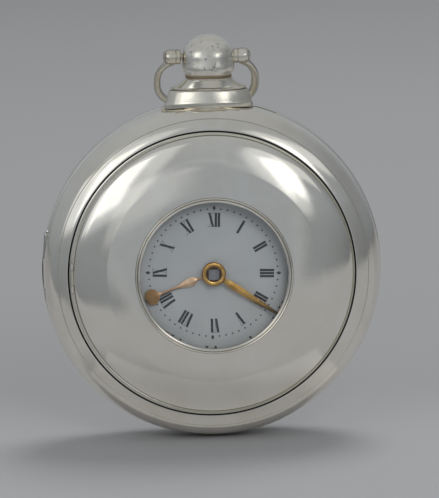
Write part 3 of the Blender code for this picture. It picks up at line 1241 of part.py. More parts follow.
for name, start in (("crown_bearing", inner_bearing), ("counter_potence", outer_bearing)):
    half_width = BEARING_WIDTH / 2
    post = block(name, (start, -half_width, post_foot), (start + BEARING_T, half_width,
                                                         CROWN_LEVEL + half_width / 2),
                 "gilt", watch, (contrate_x, contrate_y, 0), (0, 0, verge_turn))
    cut(post, rod(name + "_bore", pivot_hole_r, start - OVERRUN, start + BEARING_T + OVERRUN, None,
                  FINE_STEPS,
                  **crown_lie))
half_potence = POTENCE_WIDTH / 2
potence = block("potence", (POTENCE_START, -half_potence, post_foot),
                (POTENCE_START + POTENCE_LENGTH, half_potence, POTENCE_FOOT), "gilt", watch,
                (contrate_x, contrate_y, 0), (0, 0, verge_turn))
fuse(potence, block("potence_foot", (VERGE_REACH - half_potence / 2, -half_potence / 2,
                                     POTENCE_FOOT - POTENCE_FOOT_T),
                    (POTENCE_START + SINK, half_potence / 2, POTENCE_FOOT - FIT), None, watch,
                    (contrate_x, contrate_y, 0), (0, 0, verge_turn)))
verge_at = (verge_x, verge_y, 0)
staff_front = POTENCE_FOOT - POTENCE_FOOT_T / 2
cut(potence, rod("potence_bore", pivot_hole_r, staff_front - POTENCE_FOOT_T - OVERRUN,
                 staff_front + POTENCE_FOOT_T + OVERRUN, None, FINE_STEPS, verge_at))

# Verge staff, balance and spring
staff = rod("verge_staff", VERGE_R, cock_back + FIT, staff_front, "steel", FINE_STEPS, verge_at)
front_pallet = CROWN_LEVEL + CROWN_R - PALLET_HEIGHT
back_pallet = CROWN_LEVEL - CROWN_R + PALLET_HEIGHT
for name, level, side in (("front_pallet", front_pallet, 1), ("back_pallet", back_pallet, -1)):
    half_pallet = PALLET_T / 2
    pallet_turn = verge_turn + pi + side * pi / 4
    fuse(staff, block(name, (0, -half_pallet, level - PALLET_HEIGHT / 2),
                      (PALLET_LENGTH, half_pallet, level + PALLET_HEIGHT / 2), None, watch, verge_at,
                      (0, 0, pallet_turn)))
balance_in_r = BALANCE_R - BALANCE_RIM
balance_profile = [(balance_in_r, BALANCE_FRONT), (BALANCE_R, BALANCE_FRONT), (BALANCE_R, balance_back)]
balance_profile += [(balance_in_r, balance_back)]
balance = turned("balance_wheel", balance_profile, "gilt", INNER_STEPS, verge_at)
half_spoke = BALANCE_SPOKE / 2
spoke_shift = BALANCE_T * SPOKE_SHARE
for i in range(BALANCE_SPOKES):
    fuse(balance, block("balance_spoke_%d" % i, (0, -half_spoke, balance_back + spoke_shift),
                        (balance_in_r + BALANCE_RIM / 2, half_spoke,
                         BALANCE_FRONT - spoke_shift), None, watch,
                        verge_at, (0, 0, tau * i / BALANCE_SPOKES)))
fuse(balance, rod("balance_hub", BALANCE_HUB_R, balance_back, BALANCE_FRONT, None, SMALL_STEPS,
                  verge_at))
cut(balance, rod("balance_bore", VERGE_R + FIT / 2, balance_back - OVERRUN, BALANCE_FRONT + OVERRUN,
                 None,
                 FINE_STEPS, verge_at))
hairspring_path = []
for i in range(HAIRSPRING_TURNS * HAIRSPRING_STEPS + 1):
    a = tau * i / HAIRSPRING_STEPS
    share = i / (HAIRSPRING_TURNS * HAIRSPRING_STEPS)
    r = HAIRSPRING_IN_R + (HAIRSPRING_OUT_R - HAIRSPRING_IN_R) * share
    hairspring_path.append((r * cos(a), r * sin(a)))
ribbon("balance_spring", hairspring_path, HAIRSPRING_T, HAIRSPRING_FRONT - HAIRSPRING_HEIGHT,
       HAIRSPRING_FRONT,
       "blued_steel", verge_at)
hairspring_pitch = (HAIRSPRING_OUT_R - HAIRSPRING_IN_R) / HAIRSPRING_TURNS
print("balance_spring: least gap between turns", round((hairspring_pitch - HAIRSPRING_T) * 1000, 3),
      "mm")

# Balance cock, its screw and the regulator
cock_turn = atan2(verge_y, verge_x)
cock = rod("balance_cock", COCK_R, cock_back, COCK_FRONT, "gilt", MEDIUM_STEPS, verge_at, (0, 0,
                                                                                           cock_turn))
half_foot = COCK_FOOT_WIDTH / 2
foot_end = COCK_FOOT_START + COCK_FOOT_LENGTH
fuse(cock, block("cock_neck", (COCK_R / 2, -half_foot / 2, cock_back + FIT), (foot_end - FIT,
                                                                              half_foot / 2,
                                                                         COCK_FRONT - FIT),
                 None, watch, verge_at, (0, 0, cock_turn)))
fuse(cock, block("cock_foot", (COCK_FOOT_START, -half_foot, cock_back), (foot_end, half_foot,
                                                                         top_back - FIT), None,
                 watch, verge_at, (0, 0, cock_turn)))
cut(cock, rod("cock_pivot_hole", VERGE_R + FIT, cock_back - OVERRUN, COCK_FRONT + OVERRUN, None,
              FINE_STEPS,
              verge_at))
screw_reach = COCK_FOOT_START + COCK_FOOT_LENGTH / 2
screw_at = (verge_x + screw_reach * cos(cock_turn), verge_y + screw_reach * sin(cock_turn), 0)
cut(cock, rod("cock_screw_hole", COCK_SCREW_R + FIT, cock_back - OVERRUN, top_back + OVERRUN, None,
              FINE_STEPS,
              screw_at))
cut(top_plate, rod("plate_screw_hole", COCK_SCREW_R + FIT, top_back - OVERRUN, top_front + OVERRUN, None,
                   FINE_STEPS, screw_at))
screw_head = cock_back + COCK_SCREW_HEAD_T
cut(cock, rod("cock_screw_sink", COCK_SCREW_HEAD_R + FIT, cock_back - OVERRUN, screw_head + FIT,
              None, SMALL_STEPS,
              screw_at))
cock_screw = [(0, top_front), (COCK_SCREW_R, top_front), (COCK_SCREW_R, screw_head),
              (COCK_SCREW_HEAD_R, screw_head)]
cock_screw += [(COCK_SCREW_HEAD_R, cock_back), (0, cock_back)]
turned("cock_screw", cock_screw, "blued_steel", FINE_STEPS, screw_at)
regulator_front = top_back - FIT
rod("regulator_disc", REGULATOR_R, regulator_front - REGULATOR_T, regulator_front, "silver_dull",
    MEDIUM_STEPS,
    (REGULATOR_X, REGULATOR_Y, 0))

# Dust cap over the movement
cap_in_r = CAP_R - CAP_T
cap_back_in = CAP_BACK_F + CAP_T
dust_profile = [(cap_in_r, CAP_RIM_F), (CAP_R, CAP_RIM_F), (CAP_R, CAP_SHOULDER_F), (CAP_FLAT_R,
                                                                                     CAP_BACK_F)]
dust_profile += [(0, CAP_BACK_F), (0, cap_back_in), (CAP_FLAT_R - CAP_T / 2, cap_back_in)]
dust_profile += [(cap_in_r, CAP_SHOULDER_F + CAP_T / 2)]
dust_cap = turned("dust_cap", ring_first(dust_profile), "gilt", INNER_STEPS)
cut(dust_cap, rod("dust_cap_hole", WINDING_HOLE_R, CAP_BACK_F - OVERRUN, cap_back_in + OVERRUN,
                  None, SMALL_STEPS,
                  fusee_at))
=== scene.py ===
from math import asin, copysign, cos, hypot, pi, radians, sin, sqrt, tan, tau

import bmesh
import bpy
from mathutils import Matrix, Vector


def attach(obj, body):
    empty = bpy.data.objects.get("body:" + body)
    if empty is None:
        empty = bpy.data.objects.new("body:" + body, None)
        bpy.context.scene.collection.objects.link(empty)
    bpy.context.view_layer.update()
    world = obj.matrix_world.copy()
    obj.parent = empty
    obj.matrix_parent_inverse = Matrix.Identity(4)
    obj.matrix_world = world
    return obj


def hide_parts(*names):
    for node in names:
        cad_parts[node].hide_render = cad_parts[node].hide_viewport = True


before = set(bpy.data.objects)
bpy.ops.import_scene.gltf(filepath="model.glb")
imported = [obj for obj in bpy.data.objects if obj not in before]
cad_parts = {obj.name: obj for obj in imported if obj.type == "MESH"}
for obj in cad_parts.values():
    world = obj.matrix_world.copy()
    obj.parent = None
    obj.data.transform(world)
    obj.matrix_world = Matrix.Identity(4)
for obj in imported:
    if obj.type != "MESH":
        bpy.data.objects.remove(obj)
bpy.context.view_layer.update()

# Watch coordinates are in millimetres: x to the right, y to the pendant, f forward of the case's seam
DEPTH = 10.5
MM = 0.001
SHARP, HAND_SHARP, INK_SHARP = 32.0, 26.0, 20.0
ON_AXIS = 1e-6


def world_mm(x, y, f):
    """Watch millimetres to world millimetres."""
    return Vector((x, -(f + DEPTH), y))


def at(x, y, f):
    """Watch millimetres to world metres."""
    return world_mm(x, y, f) * MM


# Mesh helpers
def new_object(name, data):
    ob = bpy.data.objects.new(name, data)
    bpy.context.scene.collection.objects.link(ob)
    return ob


def smooth(ob, sharp):
    me = ob.data
    me.polygons.foreach_set("use_smooth", [True] * len(me.polygons))
    me.set_sharp_from_angle(angle=radians(sharp))


def finish_mesh(name, bm, look=None, body=None, sharp=SHARP, replaces=(), slot=None):
    bmesh.ops.recalc_face_normals(bm, faces=bm.faces[:])
    me = bpy.data.meshes.new(name)
    bm.to_mesh(me)
    bm.free()
    ob = new_object(name, me)
    smooth(ob, sharp)
    if look is not None:
        me.materials.append(look)
    if body is not None:
        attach(ob, body)
    if replaces:
        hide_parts(*replaces)
    return ob


def skin(bm, rows):
    """Faces between closed rows of equal length."""
    for a, b in zip(rows, rows[1:]):
        for i in range(len(a)):
            j = (i + 1) % len(a)
            bm.faces.new((a[i], b[i], b[j], a[j]))


def capped(bm, rows):
    """Faces between closed rows, and over the first and the last."""
    bm.faces.new(rows[0])
    bm.faces.new(rows[-1])
    skin(bm, rows)


def front(r, a, h):
    """A turned point about the watch's own axis."""
    return at(r * cos(a), r * sin(a), h)


def turned(name, ring, look=None, body=None, steps=192, frame_of=front, **kw):
    """Turn (radius, height) points; a ring that starts away from the axis is closed."""
    bm = bmesh.new()
    rows = []
    for r, h in ring:
        if r < ON_AXIS:
            rows.append([bm.verts.new(frame_of(0.0, 0.0, h))])
        else:
            rows.append([bm.verts.new(frame_of(r, tau * i / steps, h)) for i in range(steps)])
    pairs = list(zip(rows, rows[1:]))
    if len(rows[0]) > 1:
        pairs.append((rows[-1], rows[0]))
    for a, b in pairs:
        if len(a) == 1 and len(b) == 1:
            continue
        for i in range(steps):
            j = (i + 1) % steps
            if len(a) == 1:
                bm.faces.new((a[0], b[i], b[j]))
            elif len(b) == 1:
                bm.faces.new((a[i], b[0], a[j]))
            else:
                bm.faces.new((a[i], b[i], b[j], a[j]))
    return finish_mesh(name, bm, look, body, **kw)


def rod(radius, start, end, place, direction, steps):
    """A plain rod for a boolean; its place is in world millimetres."""
    bm = bmesh.new()
    d = Vector(direction).normalized()
    u = d.orthogonal().normalized()
    v = d.cross(u)
    rows = []
    for t in (start, end):
        row = []
        for i in range(steps):
            a = tau * i / steps
            row.append(bm.verts.new((place + d * t + (u * cos(a) + v * sin(a)) * radius) * MM))
        rows.append(row)
    capped(bm, rows)
    return finish_mesh("rod", bm)


def block(low, high):
    """A plain block for a boolean, between two corners in watch coordinates."""
    bm = bmesh.new()
    xs, ys, fs = zip(low, high)
    v = [bm.verts.new(at(x, y, f)) for x in xs for y in ys for f in fs]
    for f in ((0, 1, 3, 2), (4, 5, 7, 6), (0, 1, 5, 4), (2, 3, 7, 6), (0, 2, 6, 4), (1, 3, 7, 5)):
        bm.faces.new([v[i] for i in f])
    return finish_mesh("block", bm)


def boolean(ob, other, operation):
    """Combine with another object, which is used up."""
    look = ob.data.materials[0] if ob.data.materials else None
    mod = ob.modifiers.new("boolean", "BOOLEAN")
    mod.operation = operation
    mod.solver = "EXACT"
    mod.object = other
    dg = bpy.context.evaluated_depsgraph_get()
    dg.update()
    me = bpy.data.meshes.new_from_object(ob.evaluated_get(dg))
    ob.modifiers.clear()
    old = ob.data
    ob.data = me
    bpy.data.meshes.remove(old)
    me.materials.clear()
    if look is not None:
        me.materials.append(look)
        me.polygons.foreach_set("material_index", [0] * len(me.polygons))
    bpy.data.objects.remove(other, do_unlink=True)
    smooth(ob, SHARP)


def cut(ob, other):
    boolean(ob, other, "DIFFERENCE")


def fuse(ob, other):
    boolean(ob, other, "UNION")


def tube(name, path, radii, look, body, steps, **kw):
    """A closed tube along points, with its own radius at each."""
    bm = bmesh.new()
    rows = []
    side = None
    for i, (p, r) in enumerate(zip(path, radii)):
        ahead = path[min(i + 1, len(path) - 1)] - path[max(i - 1, 0)]
        ahead.normalize()
        if side is None:
            side = ahead.orthogonal().normalized()
        side = (side - ahead * side.dot(ahead)).normalized()
        up = ahead.cross(side)
        row = []
        for k in range(steps):
            a = tau * k / steps
            row.append(bm.verts.new(p + (side * cos(a) * r + up * sin(a) * r)))
        rows.append(row)
    capped(bm, rows)
    return finish_mesh(name, bm, look, body, **kw)


# Shader helpers
def feed(nt, node, inputs):
    """Give inputs, by name or number, a value each or another node's output."""
    for key, value in inputs.items():
        socket = node.inputs[key]
        if isinstance(value, bpy.types.NodeSocket):
            nt.links.new(value, socket)
        else:
            socket.default_value = (*value, 1.0) if socket.type == "RGBA" else value


def add_node(nt, kind, inputs, **settings):
    node = nt.nodes.new("ShaderNode" + kind)
    for key, value in settings.items():
        setattr(node, key, value)
    feed(nt, node, inputs)
    return node


def new_material(name):
    mat = bpy.data.materials.new(name)
    mat.use_nodes = True
    nt = mat.node_tree
    nt.nodes.clear()
    shader = add_node(nt, "BsdfPrincipled", {})
    out = add_node(nt, "OutputMaterial", {0: shader.outputs[0]})
    return mat, nt, shader, out


def coords(nt, scale=(1.0, 1.0, 1.0)):
    place = add_node(nt, "TexCoord", {}).outputs["Object"]
    return add_node(nt, "Mapping", {"Vector": place, "Scale": scale}).outputs[0]


def noise(nt, vec, scale, detail=4.0, rough=0.55, distortion=0.0):
    inputs = {"Vector": vec, "Scale": scale, "Detail": detail, "Roughness": rough, "Distortion": distortion}
    return add_node(nt, "TexNoise", inputs).outputs["Fac"]


def ramp(nt, fac, stops):
    """Colours between stops, each a position and a colour."""
    node = add_node(nt, "ValToRGB", {0: fac})
    elements = node.color_ramp.elements
    while len(elements) < len(stops):
        elements.new(0.5)
    for element, (position, colour) in zip(elements, stops):
        element.position = position
        element.color = (*colour, 1.0)
    return node.outputs[0]


def spread(nt, fac, low, high, to_low=0.0, to_high=1.0):
    """Map a range onto another, held at its ends."""
    inputs = {"Value": fac, "From Min": low, "From Max": high, "To Min": to_low, "To Max": to_high}
    return add_node(nt, "MapRange", inputs).outputs[0]


def calc(nt, op, *values):
    return add_node(nt, "Math", dict(enumerate(values)), operation=op).outputs[0]


def mix(nt, fac, a, b):
    return add_node(nt, "Mix", {0: fac, 6: a, 7: b}, data_type="RGBA").outputs[2]


def bump(nt, height, strength, distance, under=None):
    node = add_node(nt, "Bump", {"Height": height, "Strength": strength, "Distance": distance})
    if under is not None:
        feed(nt, node, {"Normal": under})
    return node.outputs[0]


def along(nt, axis):
    """The object coordinate along one axis, in metres."""
    place = add_node(nt, "TexCoord", {}).outputs["Object"]
    return add_node(nt, "SeparateXYZ", {0: place}).outputs[axis]


def forward(nt):
    """How far forward of the seam a point lies, in metres."""
    return calc(nt, "SUBTRACT", -DEPTH * MM, along(nt, 1))


def radius_of(nt, centre):
    """How far a point lies from the watch's axis, or from a line beside it, in metres."""
    x, z = calc(nt, "SUBTRACT", along(nt, 0), centre * MM), along(nt, 2)
    return calc(nt, "SQRT", calc(nt, "ADD", calc(nt, "MULTIPLY", x, x), calc(nt, "MULTIPLY", z, z)))


def between(nt, value, low, high, soft):
    """One inside a range, in millimetres, and zero outside it."""
    up = spread(nt, value, (low - soft) * MM, (low + soft) * MM)
    down = spread(nt, value, (high - soft) * MM, (high + soft) * MM, 1.0, 0.0)
    return calc(nt, "MULTIPLY", up, down)


def scaled(colour, share):
    return tuple(c * share for c in colour)


# Metals. A band is (low, high, softness, colour) in millimetres, across y or f; a ring adds its centre's x
BAND_DULL, RING_DULL = 0.25, 0.3
PIT_SCALE, PIT_SHADE, PAINTED_EDGE_SHADE = 1500.0, 0.45, 0.2
DENT_SCALE, DENT_DEPTH, SCRATCH_DEPTH = 75.0, 0.004, 0.00012
BAND_WAVER_SCALE, BAND_WAVER = 700.0, 0.0002


def metal(name, clean, worn, rough, dent, scratch, grain=900.0, patches=140.0, bands=(), bands_f=(),
          rings=(), rings_under=None, pits=0.0, edge=0.0):
    """Polished metal: clouded colour, uneven polish, fine scratches, shallow dents, darker bands and rings,
    some of them painted shade, and painted shade toward outlines.
    """
    mat, nt, shader, _ = new_material(name)
    v = coords(nt)
    cloud = noise(nt, v, patches, detail=5.0, rough=0.6, distortion=0.4)
    colour = ramp(nt, cloud, ((0.38, worn), (0.62, clean)))
    fine = noise(nt, coords(nt, (1.0, 1.0, 6.0)), grain, rough=0.7)
    haze = calc(nt, "ADD", calc(nt, "MULTIPLY", fine, 0.6), calc(nt, "MULTIPLY", cloud, 0.4))
    haze = spread(nt, haze, 0.3, 0.7, *rough)
    if pits:
        spots = noise(nt, v, PIT_SCALE, detail=3.0, rough=0.6)
        spots = ramp(nt, spots, ((0.6, (0.0, 0.0, 0.0)), (0.68, (1.0, 1.0, 1.0))))
        colour = mix(nt, calc(nt, "MULTIPLY", spots, pits), colour, scaled(worn, PIT_SHADE))
    for low, high, soft, dark in bands:
        waver = noise(nt, v, BAND_WAVER_SCALE, detail=3.0)
        height = calc(nt, "MULTIPLY_ADD", waver, BAND_WAVER, along(nt, 2))
        mask = between(nt, height, low, high, soft)
        colour = mix(nt, mask, colour, dark)
        haze = calc(nt, "MULTIPLY_ADD", mask, BAND_DULL, haze)
    for low, high, soft, dark in bands_f:
        colour = mix(nt, between(nt, forward(nt), low, high, soft), colour, dark)
    for low, high, soft, dark, centre in rings:
        mask = between(nt, radius_of(nt, centre), low, high, soft)
        if rings_under is not None:
            under = spread(nt, forward(nt), (rings_under - 0.1) * MM, rings_under * MM, 1.0, 0.0)
            mask = calc(nt, "MULTIPLY", mask, under)
        colour = mix(nt, mask, colour, dark)
        haze = calc(nt, "MULTIPLY_ADD", mask, RING_DULL, haze)
    # Painted shade: the colour darkens toward outlines, where the surface turns away from view, by the share
    # that edge gives
    if edge:
        rim = add_node(nt, "LayerWeight", {"Blend": 0.5})
        painted_edge_shade_mask = spread(nt, rim.outputs["Facing"], 0.18, 0.85, 0.0, edge)
        colour = mix(nt, painted_edge_shade_mask, colour, scaled(worn, PAINTED_EDGE_SHADE))
    dents = bump(nt, noise(nt, v, DENT_SCALE, detail=2.0, rough=0.45), dent, DENT_DEPTH)
    lines = noise(nt, coords(nt, (1.0, 1.0, 9.0)), grain * 1.6, detail=3.0, rough=0.8, distortion=0.6)
    feed(nt, shader, {"Base Color": colour, "Roughness": haze, "Metallic": 1.0,
                      "Normal": bump(nt, lines, scratch, SCRATCH_DEPTH, dents)})
    return mat


# PAINTED_GAP_SHADE is painted shade, near black, in the gap between the cover, the bezel and the inner case
PAINTED_GAP_SHADE, OLIVE, GREY = (0.03, 0.027, 0.02), (0.22, 0.2, 0.13), (0.5, 0.47, 0.38)
SHADED = (0.56, 0.55, 0.52)
HOLLOW = (0.66, 0.64, 0.54)
# UNDER_BALL darkens the neck under the ball brown: partly tarnish in its grooves, partly painted shade under
# the ball
UNDER_BALL = (32.95, 33.5, 0.06, (0.4, 0.32, 0.21))
# The gap between bezel and cover lies this far toward the hinge, as the photograph shows it
GAP_X = -0.24
CLEAN, WORN, RING_WORN = (0.93, 0.9, 0.83), (0.89, 0.855, 0.775), (0.87, 0.83, 0.745)

silver_back = metal("back_silver", CLEAN, WORN, rough=(0.06, 0.12), dent=0.012, scratch=0.03,
                    bands_f=((-0.14, 1.2, 0.03, SHADED),))
silver_cover = metal("cover_silver", CLEAN, WORN, rough=(0.05, 0.11), dent=0.01, scratch=0.025,
                     rings=((24.07, 24.6, 0.02, PAINTED_GAP_SHADE, GAP_X), (23.52, 23.62, 0.03, OLIVE, 0.0),
                            (23.66, 24.03, 0.04, HOLLOW, GAP_X * 0.5)))
silver_ring = metal("bezel_silver", CLEAN, RING_WORN, rough=(0.07, 0.13), dent=0.012, scratch=0.03,
                    bands_f=((-0.5, 0.16, 0.03, OLIVE),),
                    rings=((23.0, 24.36, 0.02, PAINTED_GAP_SHADE, GAP_X), (26.2, 26.3, 0.05, GREY, 0.0)))
# The rim's inner face, inside 12.44 mm, is painted olive shade; the thin ring at 12.9 mm darkens its turned
# groove
silver_rim = metal("rim_silver", CLEAN, RING_WORN, rough=(0.08, 0.14), dent=0.01, scratch=0.03,
                   rings=((12.9, 12.97, 0.02, OLIVE, 0.0), (11.0, 12.44, 0.03, OLIVE, 0.0)))
# On the inner case the painted gap shade reaches only to rings_under forward of the seam, under the cover's
# edge
silver_inner = metal("inner_silver", CLEAN, WORN, rough=(0.08, 0.16), dent=0.02, scratch=0.04,
                     rings=((23.5, 24.86, 0.03, PAINTED_GAP_SHADE, 0.0),), rings_under=4.5)
# The edge shares below paint shade toward the outlines of the pendant, the bow and the worn pieces
silver_neck = metal("pendant_silver", (0.95, 0.91, 0.81), (0.9, 0.85, 0.73), rough=(0.13, 0.21), dent=0.05,
                    scratch=0.06, bands=(UNDER_BALL, (30.78, 30.92, 0.03, OLIVE)), edge=0.35)
silver_ball = metal("ball_silver", (0.95, 0.915, 0.83), (0.88, 0.84, 0.74), rough=(0.17, 0.27), dent=0.16,
                    scratch=0.05, patches=600.0, bands=(UNDER_BALL,), pits=0.8)
silver_bow = metal("bow_silver", (0.94, 0.9, 0.8), (0.82, 0.76, 0.62), rough=(0.12, 0.22), dent=0.06,
                   scratch=0.1, edge=0.75)
silver_worn = metal("worn_silver", (0.82, 0.775, 0.69), (0.62, 0.55, 0.43), rough=(0.14, 0.26), dent=0.05,
                    scratch=0.12, edge=0.6)
# The gold's rings paint shade into the boss's sunk middle and darken a ring about the boss's edge
gold = metal("gold", (0.86, 0.53, 0.15), (0.62, 0.33, 0.07), rough=(0.16, 0.3), dent=0.02, scratch=0.1,
             grain=1800.0, patches=500.0,
             rings=((0.0, 1.3, 0.05, (0.16, 0.07, 0.02), 0.0), (1.86, 2.2, 0.06, (0.4, 0.2, 0.05), 0.0)))
# The ring paints shade over the hour hand's outer end, beyond 9.9 mm, in darker brown
copper_gold = metal("copper_gold", (0.88, 0.62, 0.42), (0.7, 0.43, 0.24), rough=(0.28, 0.44), dent=0.02,
                    scratch=0.1, grain=1800.0, patches=500.0,
                    rings=((9.9, 14.0, 0.35, (0.5, 0.29, 0.11), 0.0),))
SATIN = {"dent": 0.01, "scratch": 0.1, "grain": 2600.0, "patches": 300.0}
BRUSHED = {"dent": 0.01, "scratch": 0.12, "grain": 2600.0, "patches": 400.0}
gilt = metal("gilt_brass", (0.86, 0.66, 0.33), (0.74, 0.53, 0.23), rough=(0.24, 0.38), **SATIN)
brass = metal("brass", (0.8, 0.61, 0.28), (0.66, 0.47, 0.19), rough=(0.2, 0.34), dent=0.01, scratch=0.12,
              grain=2400.0, patches=300.0)
steel = metal("polished_steel", (0.62, 0.62, 0.63), (0.46, 0.46, 0.47), rough=(0.18, 0.32), **BRUSHED)
steel_dark = metal("dark_steel", (0.36, 0.36, 0.37), (0.22, 0.22, 0.23), rough=(0.22, 0.38), **BRUSHED)
blued = metal("blued_steel", (0.06, 0.1, 0.32), (0.04, 0.05, 0.16), rough=(0.16, 0.28), **SATIN)


# Enamel, paint and glass
def enamel_material():
    """Fired enamel, pale and faintly blue, with slight orange peel and a few specks."""
    mat, nt, shader, _ = new_material("dial_enamel")
    v = coords(nt)
    cloud = noise(nt, v, 120.0, rough=0.5)
    specks = noise(nt, v, 2600.0, detail=2.0, rough=0.5)
    colour = ramp(nt, cloud, ((0.3, (0.5, 0.517, 0.525)), (0.7, (0.53, 0.545, 0.55))))
    colour = mix(nt, spread(nt, specks, 0.7, 0.8, 0.0, 0.5), colour, (0.38, 0.39, 0.395))
    peel = noise(nt, v, 420.0, detail=2.0, rough=0.4)
    feed(nt, shader, {"Base Color": colour, "Roughness": spread(nt, cloud, 0.3, 0.7, 0.14, 0.22),
                      "Normal": bump(nt, peel, strength=0.03, distance=0.0006),
                      "Coat Weight": 0.25, "Coat Roughness": 0.06})
    return mat


def paint_material():
    """Fired black dial paint, slightly uneven in cover."""
    mat, nt, shader, _ = new_material("dial_black")
    cover = noise(nt, coords(nt), 3800.0, rough=0.6)
    colour = ramp(nt, cover, ((0.35, (0.012, 0.013, 0.016)), (0.75, (0.045, 0.048, 0.055))))
    feed(nt, shader, {"Base Color": colour, "Roughness": spread(nt, cover, 0.3, 0.7, 0.25, 0.45)})
    return mat


def glass_material():
    """Clear watch glass, which lets light through to the dial."""
    mat, nt, shader, out = new_material("watch_glass")
    smear = noise(nt, coords(nt), 260.0, detail=5.0, rough=0.6)
    colour = ramp(nt, smear, ((0.4, (0.97, 0.98, 0.98)), (0.8, (0.94, 0.955, 0.96))))
    feed(nt, shader, {"Base Color": colour, "Roughness": spread(nt, smear, 0.45, 0.8, 0.0, 0.05),
                      "Transmission Weight": 1.0, "IOR": 1.45})
    shadow = add_node(nt, "LightPath", {}).outputs["Is Shadow Ray"]
    clear = add_node(nt, "BsdfTransparent", {}).outputs[0]
    mixer = add_node(nt, "MixShader", {0: shadow, 1: shader.outputs[0], 2: clear})
    feed(nt, out, {0: mixer.outputs[0]})
    return mat


enamel = enamel_material()
black = paint_material()
glass = glass_material()

# CAD nodes that stay as they are, by the look that each gets
KEPT = (
    (brass, ("hour_wheel", "minute_wheel", "centre_wheel", "third_wheel", "contrate_wheel", "crown_wheel")),
    (gilt, ("pillar_plate", "top_plate", "barrel", "barrel_cap", "fusee", "crown_bearing", "counter_potence",
            "potence", "balance_wheel", "balance_cock", "dust_cap", "brass_edge")),
    (gilt, ["pillar_%d" % (i + 1) for i in range(4)]),
    (steel, ["plate_pin_%d" % (i + 1) for i in range(4)]),
    (steel, ("barrel_arbor", "fusee_chain", "verge_staff")),
    (steel_dark, ("cannon_pinion",)),
    (blued, ("mainspring", "balance_spring", "cock_screw")),
    (silver_worn, ("regulator_disc", "cover_hinge_pin")),
)
for look, nodes in KEPT:
    for node in nodes:
        for held in bpy.data.objects[node].material_slots:
            held.material = look

# Sections of turned pieces
BOWL_FLAT_R, BOWL_BAND, BOWL_POWER = 9.0, 1.2, 2.6
CROWDING = 1.5


def bowl(rim_r, depth, count):
    """The section of a case's back, from its straight band to the flat in its middle."""
    share = 2 / BOWL_POWER
    points = []
    for i in range(count + 1):
        a = pi / 2 * i / count
        r = BOWL_FLAT_R + (rim_r - BOWL_FLAT_R) * max(cos(a), 0.0) ** share
        points.append((r, -(BOWL_BAND + (depth - BOWL_BAND) * sin(a) ** share)))
    return points


def section(bends, low, rise, count):
    """A profile from its outer edge inward, from pairs of radius and slope in degrees."""
    inner_r, outer_r = bends[0][0], bends[-1][0]

    def slope(r):
        for (r0, a0), (r1, a1) in zip(bends, bends[1:]):
            if r <= r1:
                return tan(radians(a0 + (a1 - a0) * (r - r0) / (r1 - r0)))
        return tan(radians(bends[-1][1]))

    points, h, last = [], 0.0, outer_r
    for i in range(count + 1):
        r = outer_r - (outer_r - inner_r) * (i / count) ** CROWDING
        h += (last - r) * slope((r + last) / 2)
        last = r
        points.append((r, h))
    return [(r, low + rise * h / points[-1][1]) for r, h in points]


def quarter(inner_r, outer_r, low, high, count):
    """A quarter of an ellipse from its outer end to its top."""
    turns = [pi / 2 * i / count for i in range(count + 1)]
    return [(inner_r + (outer_r - inner_r) * cos(a), low + (high - low) * sin(a)) for a in turns]


def scribed(points, r_line, half, depth):
    """A fine turned groove where the profile passes a radius."""
    made = []
    for (r0, h0), (r1, h1) in zip(points, points[1:]):
        made.append((r0, h0))
        if min(r0, r1) < r_line <= max(r0, r1):
            slope = (h1 - h0) / (r1 - r0)
            way = 1 if r1 > r0 else -1
            for step, deep in ((-1, 0), (-0.5, 0.7), (0, 1), (0.5, 0.7), (1, 0)):
                r = r_line + way * step * half
                made.append((r, h0 + slope * (r - r0) - depth * deep))
    made.append(points[-1])
    return made


def leaning(share):
    """Turning about the axis with part of the section set toward the hinge."""
    return lambda r, a, h: at(r * cos(a) + GAP_X * min(max(share(r), 0.0), 1.0), r * sin(a), h)


# Outer case back
CASE_R, RIM_R, BEYOND_R = 28.5, 28.78, 29.4
CASE_WALL, SEAM = 0.8, 0.08
NOTCH_R, NOTCH_LOW = 2.9, 26.0
NICK_START, NICK_SPAN, NICK_STEPS = 15, 9, 14
NICK_DEEP, NICK_END_DEEP, NICK_POWER = 0.4, 0.02, 0.35
NICK_LOW, NICK_HIGH = -0.42, 0.05


def make_back():
    ring = [(0, CASE_WALL - DEPTH)] + list(reversed(bowl(CASE_R - CASE_WALL, DEPTH - CASE_WALL, 40)))
    ring += [(27.72, -SEAM), (CASE_R, -SEAM), (28.62, -0.11), (28.71, -0.2), (28.76, -0.36), (RIM_R, -0.6)]
    ring += bowl(RIM_R, DEPTH, 40) + [(0, -DEPTH)]
    return turned("case_back", ring, silver_back, "case", steps=256, replaces=("outer_case_back",),
                  slot="silver")


def stem_notch():
    """The round notch that clears the pendant's stem."""
    return rod(NOTCH_R, NOTCH_LOW, BEYOND_R, world_mm(0, 0, 0), (0, 0, 1), 64)


def nick():
    """The thumb nick in the back's rim, deepest along its middle."""
    bm = bmesh.new()
    rows = []
    for i in range(NICK_STEPS + 1):
        a = radians(NICK_START + NICK_SPAN * i / NICK_STEPS)
        inside = 0 < i < NICK_STEPS
        deep = NICK_DEEP * sin(pi * i / NICK_STEPS) ** NICK_POWER if inside else NICK_END_DEEP
        floor_r = RIM_R - deep
        corners = ((floor_r, NICK_LOW), (floor_r, NICK_HIGH), (BEYOND_R, NICK_HIGH), (BEYOND_R, NICK_LOW))
        rows.append([bm.verts.new(at(r * sin(a), r * cos(a), f)) for r, f in corners])
    capped(bm, rows)
    return finish_mesh("nick", bm)


back = make_back()
cut(back, stem_notch())
cut(back, nick())

